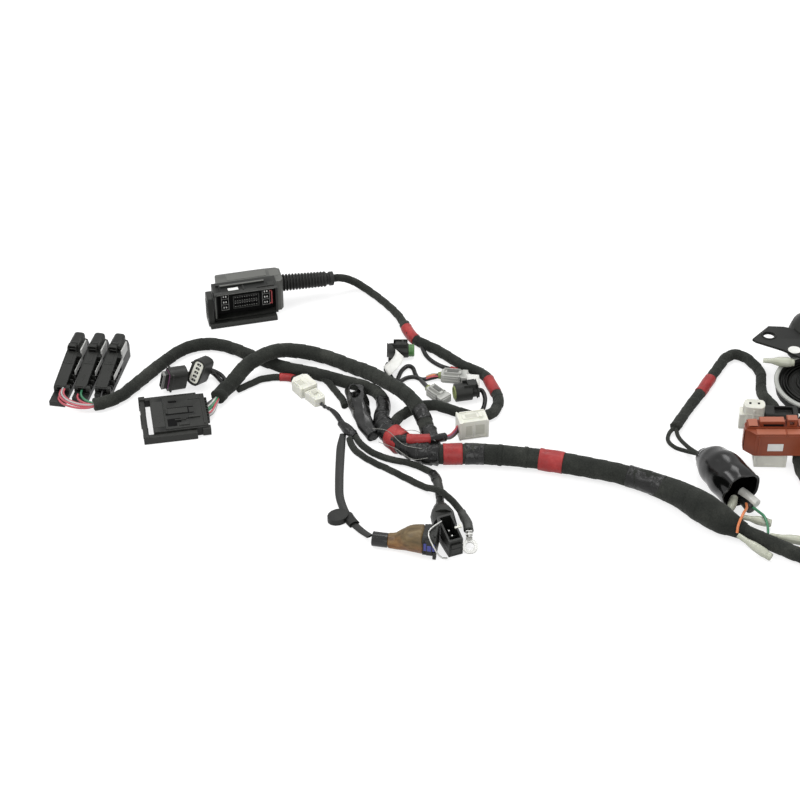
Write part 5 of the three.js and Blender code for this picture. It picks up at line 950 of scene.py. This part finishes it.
# Three small plugs and a right angle one lie inside the loop: hard grey and black plastic, wire seals in
# green silicone, and two paper flags without print that the maker folded round the leads.
pale_grey_plastic = moulded("pale_grey_plastic", (0.36, 0.365, 0.34), 0.42, (0.55, 0.55, 0.52))
green_seal = moulded("green_seal", (0.05, 0.16, 0.035), 0.45, (0.1, 0.24, 0.08))
olive_seal = moulded("olive_seal", (0.16, 0.19, 0.06), 0.45, (0.26, 0.3, 0.12))
dress("right_angle_plug", black_plastic, 0.0005)
dress("grey_plug_1", pale_grey_plastic, 0.0008, 3)
dress("grey_plug_2", pale_grey_plastic, 0.0008, 3)
dress("round_plug", black_plastic, 0.0004)
angle_stand = stand((-0.0124, 0.0705, 0.0076), 0)
turned("right_angle_seal", angle_stand, green_seal, [(20.6, 5.9), (21.2, 6.5), (22.2, 5.9), (23.2, 6.5),
                                                     (24.2, 5.9), (25.2, 6.5), (26.2, 5.9), (26.7, 5.4)])
slabs("right_angle_latch", angle_stand, black_plastic,
      [((6, -4.4, 6), (20, -3.2, 10.6)), ((6, 3.2, 6), (20, 4.4, 10.6)), ((14, -3.2, 9), (16, 3.2, 10.8)),
       ((-0.6, -5, -5), (0.2, 5, 6))], 0.0003)
for number, (place, heading, length) in enumerate((((0.0404, 0.0335, 0), -8, 26),
                                                   ((0.0288, 0.0118, 0), -49, 24))):
    plug = stand(place, heading)
    slabs(f"grey_plug_ribs_{number + 1}", plug, pale_grey_plastic,
          [((3, -3.6, 8.6), (length - 7, -2.8, 11.8)), ((3, 2.8, 8.6), (length - 7, 3.6, 11.8)),
           ((length - 9, -6.6, 1), (length - 8, 6.6, 9.6)), ((2, -6.4, 3), (length - 6, -5.8, 4.2)),
           ((2, -6.4, 6), (length - 6, -5.8, 7)), ((length - 0.4, -5.4, 1.4), (length + 0.8, 5.4, 7.6))],
          0.0003)
    # Painted shade: the darker grey plastic laid in each plug's top recess and in a gap down its side.
    slabs(f"grey_plug_shades_{number + 1}", plug, grey_plastic,
          [((6, -2.2, 11.5), (length - 9, 2.2, 11.75)),
           ((length - 6.4, -7.2, 0.8), (length - 5.6, -6.9, 8.4))], 0)
    turned(f"grey_plug_seal_{number + 1}", plug @ Matrix.Translation((0, 0, 0.0044)), olive_seal,
           [(-3.2, 2.6), (-2.6, 3.6), (-1.8, 3.2), (-1, 3.8), (0.4, 3.8)], sides=24)
for number, (finish, shift) in enumerate(((orange_wire, 0.0), (white_wire, 0.0022), (pink_wire, -0.0022))):
    wire(f"grey_plug_wire_{number + 1}", [(0.0255, 0.0305 + shift, 0.0042), (0.032, 0.0325 + shift, 0.0056),
                                          (0.0378, 0.0337 + shift, 0.0048)], finish, radius=0.0009)
round_stand = stand((0.0746, 0.0042, 0.0091), 192)
turned("round_plug_seal", round_stand, olive_seal, [(18, 7.15), (22.4, 7.1), (23.3, 6.3), (22.8, 5),
                                                    (18, 4.9)], closed=True)
slabs("round_plug_tongue", round_stand, olive_seal, [((14.6, -3.7, -2.5), (20.4, 3.7, 2.5))],
      0.0006)
slabs("round_plug_latch", round_stand, black_plastic,
      [((0, -5.6, -6), (1.2, 5.6, 9.6)), ((2, -4.6, 5), (14, -3.7, 10.6)), ((2, 3.7, 5), (14, 4.6, 10.6)),
       ((8, -3.6, 9.2), (10, 3.6, 10.8)), ((-1.2, -7, -4), (0.2, 7, 4))], 0.0003)


def flag(name, corners, curl, bow, finish):
    """A folded paper flag between four corners, curled upwards and bowed sideways along its length."""
    a, b, c, d = (Vector(corner) + bench_middle for corner in corners)
    points = []
    for i in range(13):
        for j in range(5):
            u, v = i / 12, j / 4
            point = a.lerp(b, v).lerp(d.lerp(c, v), u)
            points.append(point + math.sin(math.pi * u) * Vector((bow, 0, curl * (0.6 + 0.4 * v))))
    faces = [(i * 5 + j, i * 5 + j + 1, i * 5 + j + 6, i * 5 + j + 5) for i in range(12) for j in range(4)]
    piece = put_mesh(name, points, faces, finish)
    piece.modifiers.new("paper", "SOLIDIFY").thickness = 0.0003
    return piece


paper, tree, shader = new_finish("paper", (0.76, 0.76, 0.73), 0.6)
creases = grain(tree, 80, 3)
tree.links.new(ramp(tree, creases, (0.3, (0.66, 0.66, 0.62)), (0.6, (0.8, 0.8, 0.77))),
               shader.inputs["Base Color"])
raise_surface(tree, shader, (creases, 0.4, 0.002))
flag("flag_of_right_angle_plug", [(-0.0045, 0.0615, 0.0158), (0.0035, 0.0512, 0.0144),
                                  (-0.0108, 0.0292, 0.0064), (-0.0165, 0.0445, 0.0066)], 0.002, 0.0042,
     paper)
flag("flag_of_grey_plug", [(0.0645, 0.0285, 0.01), (0.0772, 0.0269, 0.01), (0.0764, 0.0072, 0.0026),
                           (0.0651, 0.0072, 0.0026)], 0.0012, 0.0008, paper)


# The white box connector: a nylon housing with its mouth to the right and a latch rail along its top.
dress("white_box_connector", white_nylon, 0.0006, 3)
white_box = stand((0.0556, -0.054, 0), 12)
slabs("white_box_flange", white_box, white_nylon,
      [((-1.2, -9.2, 0.3), (0.6, 9.2, 20.8)), ((25.2, -9.1, 0.3), (27.2, -8.4, 20.6)),
       ((4, -9, 2), (24, -8.4, 3)), ((12, -9, 2), (13.4, -8.4, 18)), ((2, -8.4, 19.6), (26, -7.2, 21)),
       ((2, 7.2, 19.6), (26, 8.4, 21)), ((19, -3.6, 21), (22, 3.6, 22.6))], 0.0004)
# Painted shade: darker nylon patches on the face toward the front and on the top.
slabs("white_box_shades", white_box, nylon_painted_shade,
      [((5, -8.75, 5), (11, -8.45, 16)), ((14.5, -8.75, 5), (23, -8.45, 16)),
       ((6, -2.4, 21.4), (17, 2.4, 21.62))], 0)


# Vinyl hood: a soft glossy sleeve over the joint, crumpled, open in an oval mouth on its upper side. Its
# skin is under 1 mm, and the taped bundle shows through the mouth.
hood_route = [(-0.045, 0.005, 0.0116), (-0.041, -0.013, 0.0106), (-0.036, -0.034, 0.0086),
              (-0.031, -0.052, 0.0074), (-0.025, -0.064, 0.007)]
soft_vinyl, tree, shader = new_finish("soft_vinyl", (0.005, 0.0052, 0.005), 0.2, Specular_IOR_Level=0.5)
creases = grain(tree, 130, 4)
tree.links.new(ramp(tree, creases, (0.3, (0.16,)), (0.7, (0.36,))), shader.inputs["Roughness"])
raise_surface(tree, shader, (creases, 0.35, 0.0012))


def soft_skin(name, line, radii, shape, finish, thickness, replaces, sides=72, slit=None):
    """An open soft skin along a line: (share, radius) pairs, and a factor from share and angle."""
    along = distances(line)
    share = along / along[-1]
    reach = np.interp(share, *zip(*radii))
    reach = np.convolve(np.pad(reach, 3, mode="edge"), np.ones(7) / 7, mode="valid")
    side, upward = across_line(line)
    angle = np.arange(sides) / sides * 2 * math.pi
    sweep = reach[:, None] * shape(share[:, None], angle[None, :])
    points = (line[:, None, :] + (sweep * np.cos(angle))[..., None] * side[:, None, :]
              + (sweep * np.sin(angle))[..., None] * upward[:, None, :]).reshape(-1, 3)
    points[:, 2] = np.maximum(points[:, 2], 0.0003 + thickness)
    faces = [(i * sides + j, i * sides + (j + 1) % sides, (i + 1) * sides + (j + 1) % sides,
              (i + 1) * sides + j) for i in range(len(line) - 1) for j in range(sides)
             if slit is None or not slit(share[i], angle[j])]
    piece = put_mesh(name, points, faces, finish)
    skin = piece.modifiers.new("skin", "SOLIDIFY")
    skin.thickness = thickness
    skin.offset = -1
    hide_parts(replaces)
    return piece


def hood_folds(share, angle):
    loose = 1 - 0.6 * share
    return (1 + loose * (0.09 * np.sin(3 * angle + 6 * share + 0.6) + 0.05 * np.sin(5 * angle - 11 * share))
            - 0.2 * np.exp(-((share - 0.42) / 0.1) ** 2) * np.exp(-(1 - np.cos(angle - 2.4)) / 0.2)
            + 0.035 * np.sin(26 * share + 2 * angle) - 0.09 * np.sin(angle) ** 2)


def hood_slit(share, angle):
    across = (angle - 1.45 - 1.2 * share + math.pi) % (2 * math.pi) - math.pi
    return (across / 0.62) ** 2 + ((share - 0.2) / 0.13) ** 2 < 1


soft_skin("vinyl_hood_skin", smooth_line(hood_route, 0.0008),
          ((0, 0.005), (0.03, 0.0082), (0.08, 0.0102), (0.3, 0.01), (0.7, 0.0078), (1, 0.0068)), hood_folds,
          soft_vinyl, 0.0009, "vinyl_hood", slit=hood_slit)
tube("vinyl_hood_core",
     smooth_line([(-0.0405, -0.014, 0.0102), (-0.036, -0.034, 0.0082), (-0.031, -0.052, 0.0072),
                  (-0.0255, -0.0635, 0.0068)]), 0.0052, glossy_tape, lumps=0.1, seed=3.3)


# The coil's plug stands on a cable in a flat ribbon: barrel, an aged brown rubber boot, a black plug with
# a blue ring, and across it a square sensor plug with a wire bail, tinned pins and a round moulded cap.
aged_rubber, tree, shader = new_finish("aged_rubber", (0.12, 0.08, 0.035), 0.5, Specular_IOR_Level=0.4)
place = add_node(tree, "ShaderNodeSeparateXYZ", {0: add_node(tree, "ShaderNodeTexCoord").outputs["Object"]})
streak_place = add_node(tree, "ShaderNodeCombineXYZ", {0: calc(tree, "MULTIPLY", place.outputs[0], 0.25),
                                                       1: place.outputs[1], 2: place.outputs[2]}).outputs[0]
streak = grain(tree, 260, 4, streak_place)
blotch = grain(tree, 90, 3)
olive = ramp(tree, streak, (0.3, (0.075, 0.052, 0.022)), (0.55, (0.14, 0.095, 0.042)),
             (0.75, (0.2, 0.15, 0.075)))
orange = ramp(tree, streak, (0.3, (0.12, 0.045, 0.012)), (0.7, (0.26, 0.12, 0.035)))
low_side = ramp(tree, calc(tree, "ADD", calc(tree, "MULTIPLY", place.outputs[2], 28),
                           calc(tree, "MULTIPLY", blotch, 0.5)), (0.45, (1.0,)), (0.75, (0.0,)))
tone = add_node(tree, "ShaderNodeMix", {"Factor": low_side, 6: olive, 7: orange}, data_type="RGBA")
tree.links.new(tone.outputs[2], shader.inputs["Base Color"])
tree.links.new(ramp(tree, blotch, (0.3, (0.36,)), (0.7, (0.6,))), shader.inputs["Roughness"])
raise_surface(tree, shader, (streak, 0.4, 0.0008), (blotch, 0.3, 0.002))
gloss_rubber = moulded("gloss_rubber", (0.004, 0.0042, 0.004), 0.16, (0.012, 0.012, 0.011),
                       Specular_IOR_Level=0.42)
blue_ring = moulded("blue_ring", (0.02, 0.028, 0.2), 0.4, (0.06, 0.07, 0.3))
coil_boot_route = [(-0.0096, -0.2113, 0.007), (-0.002, -0.2124, 0.0076), (0.006, -0.2137, 0.0106),
                   (0.013, -0.215, 0.0128), (0.02, -0.2162, 0.0132)]
coil_boot = tube("coil_boot_skin", smooth_line(coil_boot_route, 0.0008),
                 ((0, 0.0068), (0.2, 0.0074), (0.5, 0.0102), (0.72, 0.0124), (0.93, 0.0128), (0.96, 0.0136),
                  (1, 0.0132)), aged_rubber, sides=56, lumps=0.012)
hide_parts("coil_boot")
dress("coil_barrel", gloss_rubber, 0.0005)
dress("coil_plug", black_plastic, 0.0008, 3)
coil_plug = stand((0.0211, -0.2164, 0.013), -9.4)
slabs("coil_plug_ring", coil_plug, blue_ring,
      [((1.2, -11.7, -3.5), (11.4, 11.7, 5)), ((4.6, -12.9, -2.5), (8.4, 12.9, 4))], 0.0006)
slabs("coil_plug_steps", coil_plug, black_plastic,
      [((1, -11.4, -8), (2, 11.4, 8)), ((9.4, -12.2, -12), (12.6, -8, -4)),
       ((2.4, -11.8, 6), (12, 11.8, 8.4)), ((9.6, -8, 10.6), (12.2, 8, 12.2))], 0.0005)
dress("square_connector", black_plastic, 0.0004)
square = stand((0.0493, -0.2235, 0), 22)
slabs("square_pins", square, bright_steel,
      [((-0.8, 8.2, 12), (0.8, 9.8, 16.6)), ((-0.8, 15.2, 12), (0.8, 16.8, 16.6))], 0.0002)
slabs("square_ribs", square, smooth_plastic,
      [((-4.9, 3 + 4.4 * k, 8.2), (-3.6, 4 + 4.4 * k, 17)) for k in range(5)]
      + [((-6.95, 1, 3), (-6.7, 26, 4.2)), ((-6.95, 1, 9), (-6.7, 26, 10)),
         ((-4.5, -0.3, 3), (4.5, 0.1, 8)), ((-5.4, 12, 8), (5.4, 12.8, 12))], 0.0002)
# Painted shade: a near-black sheet on the floor under the pins.
slabs("square_cavity_shade", square, painted_hollow_shade, [((-4.9, 1.9, 8), (4.9, 25, 8.6))], 0)
slabs("bail_tab", stand((0.0512, -0.2092, 0.0205), 24), white_nylon,
      [((-3, -1.2, 0), (2, 1.2, 1.4)), ((1.6, -2, 0), (3, 2, 2.2))], 0.0003)
dress("wire_bail", bright_steel, 0)
dress("cable_clip", black_rubber, 0.0008, 3)
dress("ring_terminal", bright_steel, 0.0003)
ring = stand((0.062, -0.215, 0.0027), 4, 0, 22)
slabs("ring_crimp", ring, bright_steel, [((-3.1, 9.4, 2), (3.1, 10.6, 6)), ((-3, 12.6, 2), (3, 13.6, 6.2))],
      0.0004)


# The rubber boot at the right is pulled over the bullet terminals of the horn leads. Glossy moulded
# rubber, its mouth pressed in to a fold, with a thick rolled rim.
rubber_boot_route = [(0.28, -0.1, 0.013), (0.285, -0.111, 0.016), (0.294, -0.13, 0.0198),
                     (0.302, -0.147, 0.0204), (0.307, -0.159, 0.0196)]


def boot_folds(share, angle):
    low = np.clip((share - 0.5) / 0.5, 0, 1) ** 1.6
    return (1 - 0.09 * np.cos(2 * angle) * np.clip(share * 2, 0, 1)
            + low * (0.1 * np.sin(3 * angle + 0.9) + 0.06 * np.sin(5 * angle + 4 * share))
            - 0.24 * low * np.exp(-((np.cos(angle - 2.3) - 1) / 0.16) ** 2)
            + 0.02 * np.sin(20 * share + 2 * angle) * np.clip(share * 2, 0, 1))


boot_line = smooth_line(rubber_boot_route, 0.0008)
boot = soft_skin("rubber_boot_skin", boot_line, ((0, 0.0045), (0.06, 0.0085), (0.16, 0.0128), (0.3, 0.0172),
                                                 (0.55, 0.0198), (0.8, 0.0202), (1, 0.0194)), boot_folds,
                 gloss_rubber, 0.0016, "rubber_boot", 96)
rim = [tuple(v.co - bench_middle) for v in boot.data.vertices[-96:]]
tube("rubber_boot_rim", smooth_line(rim + rim[:2], 0.001), 0.0008, gloss_rubber, sides=8)
turned("rubber_boot_collar", stand((0.2806, -0.101, 0.0132), -62, 14), gloss_rubber,
       [(-3.4, 3.4), (-3, 5.2), (-1.4, 5.4), (-0.6, 7.4), (1.6, 8.8), (2.6, 8.4)], sides=48)
clear_vinyl, tree, shader = new_finish("clear_vinyl", (0.52, 0.55, 0.42), 0.24, Transmission_Weight=0.3,
                                       IOR=1.45)
haze = grain(tree, 90, 2)
tree.links.new(ramp(tree, haze, (0.3, (0.56, 0.58, 0.46)), (0.7, (0.66, 0.68, 0.57))),
               shader.inputs["Base Color"])
raise_surface(tree, shader, (haze, 0.12, 0.0006))
tin = moulded("tinned_brass", (0.42, 0.4, 0.34), 0.3, (0.5, 0.48, 0.42), Metallic=1.0)
for number, (place, heading, pitch, length) in enumerate((((0.2954, -0.1784, 0.0068), 70, 12, 22),
                                                          ((0.299, -0.2115, 0.0135), -36, -14, 34),
                                                          ((0.308, -0.181, 0.008), -16, -3, 25),
                                                          ((0.3294, -0.2034, 0.0058), -12, -2, 36),
                                                          ((0.3534, 0.029, 0.0264), -9, 1, 29))):
    sleeve = f"bullet_sleeve_{number + 1}" if number < 4 else "spade_sleeve"
    dress(sleeve, clear_vinyl, 0.0002)
    bullet = stand(place, heading, pitch)
    turned(f"bullet_{number + 1}", bullet, tin,
           [(0.14 * length, 1.2), (0.2 * length, 1.9), (0.4 * length, 1.9), (0.44 * length, 1.4),
            (0.52 * length, 2.3), (0.84 * length, 2.3), (0.9 * length, 1.2)], sides=20)
    turned(f"bullet_lip_{number + 1}", bullet, clear_vinyl,
           [(0.93 * length, 2.2), (0.93 * length, 3.7), (1.0 * length, 3.6), (1.04 * length, 3.2),
            (1.04 * length, 1.6), (0.96 * length, 1.6)], closed=True, sides=24)
wire("white_bullet_lead", [(0.3095, -0.152, 0.014), (0.316, -0.16, 0.0134), (0.322, -0.168, 0.0124)],
     white_wire, radius=0.0042, sides=20)


# The brown plug of the side cable, with its latch bridge and lug, stands between a white twin plug and a
# flat one.
brown_plastic = moulded("brown_plastic", (0.17, 0.028, 0.011), 0.36, (0.32, 0.08, 0.035),
                        Specular_IOR_Level=0.3)
# A lighter, more orange copy of the brown plastic: painted light, laid on the top faces that look up to the
# lamps.
brown_painted_light = moulded("brown_painted_light", (0.3, 0.075, 0.035), 0.4, (0.42, 0.14, 0.08), Specular_IOR_Level=0.4)
dress("brown_plug", brown_plastic, 0.0009, 3)
dress("white_twin_plug", white_nylon, 0.0007, 3)
dress("white_flat_plug", white_nylon, 0.0007, 3)
brown = stand((0.318, -0.105, 0.0164), 0)
# Painted light: the plug's top faces get the lighter brown copy.
slabs("brown_plug_lit_tops", brown, brown_painted_light,
      [((3, 9.4, 27.8), (11.6, 19.6, 28.4)), ((13.4, 10.4, 31.9), (35.6, 17.6, 32.5)),
       ((10, 0.4, 24.8), (63.6, 8.4, 25.5)), ((38.6, 10.4, 33.9), (47.6, 17.6, 34.5)),
       ((49, 9.4, 27.8), (63.6, 19.6, 28.4))], 0.0004)
slabs("brown_plug_seams", brown, brown_plastic,
      [((9.4, -0.4, 22.6), (63.8, 0.2, 23.6)), ((9.4, -0.4, 0.6), (63.8, 0.2, 1.6)),
       ((12, -0.7, 3), (13.4, 0.2, 22)), ((-0.5, 10, 4), (0.3, 15, 22)), ((36.4, -0.6, 23), (38, 8, 26.2))],
      0.0003)
slabs("brown_plug_label", brown, faded_label, [((20.8, -0.35, 6), (35.2, -0.1, 14.2))], 0)
# Painted shade: near-black strips under the upper step and down a seam of the end face.
slabs("brown_plug_shades", brown, painted_hollow_shade,
      [((17, 9.7, 27.4), (35, 10.3, 29.3)), ((-0.15, 8.6, 2), (0.1, 9.6, 23))], 0)
twin = stand((0.3358, -0.04, 0), -8)
slabs("twin_plug_ribs", twin, white_nylon, [((-10.5, -3, 4), (-9.6, 3, 25)), ((-7, -7.6, 3), (7, -6.8, 5)),
                                            ((-7, -7.6, 18), (7, -6.8, 19.4)),
                                            ((-13.4, -6.4, 15.6), (-8, 6.4, 17.4)),
                                            ((-1, -7.8, 5), (1, -6.8, 24))], 0.0004)
# Painted shade: near-black patches in the two contact holes on top.
slabs("twin_plug_hole_shades", twin, painted_hollow_shade,
      [((-5.1, -1.1, 26.6), (-3.1, 1.5, 27.08)), ((2.9, -0.5, 26.6), (4.9, 2.1, 27.08))],
      0)
slabs("flat_plug_ribs", stand((0.329, -0.1016, 0.00005), -2), white_nylon,
      [((2, -0.5, 2), (3.2, 0.2, 14)), ((26, -0.5, 2), (27.4, 0.2, 14)), ((4, -0.4, 12.4), (26, 0.2, 13.6)),
       ((10, -0.6, 3), (18, 0.2, 4.4))], 0.0003)


# The rubber tube connector on the right branch, soft and matt, with its oval mouth upwards.
dress("tube_connector", black_rubber, 0.0012, 3)


# The horn is cut by the edge of the photograph. Pressed steel in black enamel with a bare rolled rim,
# stepped rings round the disc, and a bracket with its hole and a blank oval sticker.
enamel = moulded("black_enamel", (0.006, 0.0065, 0.0055), 0.45, (0.024, 0.025, 0.022),
                 Specular_IOR_Level=0.22)
rolled_rim = moulded("rolled_rim", (0.3, 0.31, 0.29), 0.45, (0.45, 0.46, 0.43), Specular_IOR_Level=0.5)
dress("horn_case", enamel, 0.0005)
dress("horn_bracket", enamel, 0.0008, 3)
horn = stand((0.401, 0.0043, 0.0036), 0, 0, 5)
turned("horn_rim", horn, rolled_rim, [(13.6, 39.2), (15.4, 39.7), (16.5, 39.1), (16.9, 37.4), (16.5, 35.6),
                                      (15.2, 34.9), (13.6, 35.2)], axis="Z", sides=96,
       closed=True)
for number, radius in enumerate((30.5, 27.5, 24, 17.5, 14.5, 11.5)):
    level = 13.2 if radius > 20 else 14.6
    turned(f"horn_ring_{number + 1}", horn, enamel, [(level, radius - 1), (level + 1.3, radius - 0.6),
                                                     (level + 1.5, radius), (level + 1.3, radius + 0.6),
                                                     (level, radius + 1)], axis="Z",
           sides=72, closed=True)
turned("horn_nut", horn, rolled_rim, [(15.8, 4.6), (18.4, 4.6), (18.8, 4.2), (18.8, 0.2)],
       axis="Z", sides=6)
bracket = stand((0.402, 0, 0.033), 0, 0, -3)
turned("bracket_sticker", bracket @ Matrix.Translation((-0.0178, 0.0362, 0.0024)), paper,
       [(0, 6.3), (0.22, 6.3), (0.22, 0.1), (0, 0.1)], axis="Z", closed=True)
turned("bracket_eyelet", bracket @ Matrix.Translation((-0.039, 0.062, 0.0024)), enamel,
       [(-0.2, 5.7), (0.5, 5.8), (0.7, 6.6), (0.3, 7.4), (-0.2, 7.6)], axis="Z", closed=True)
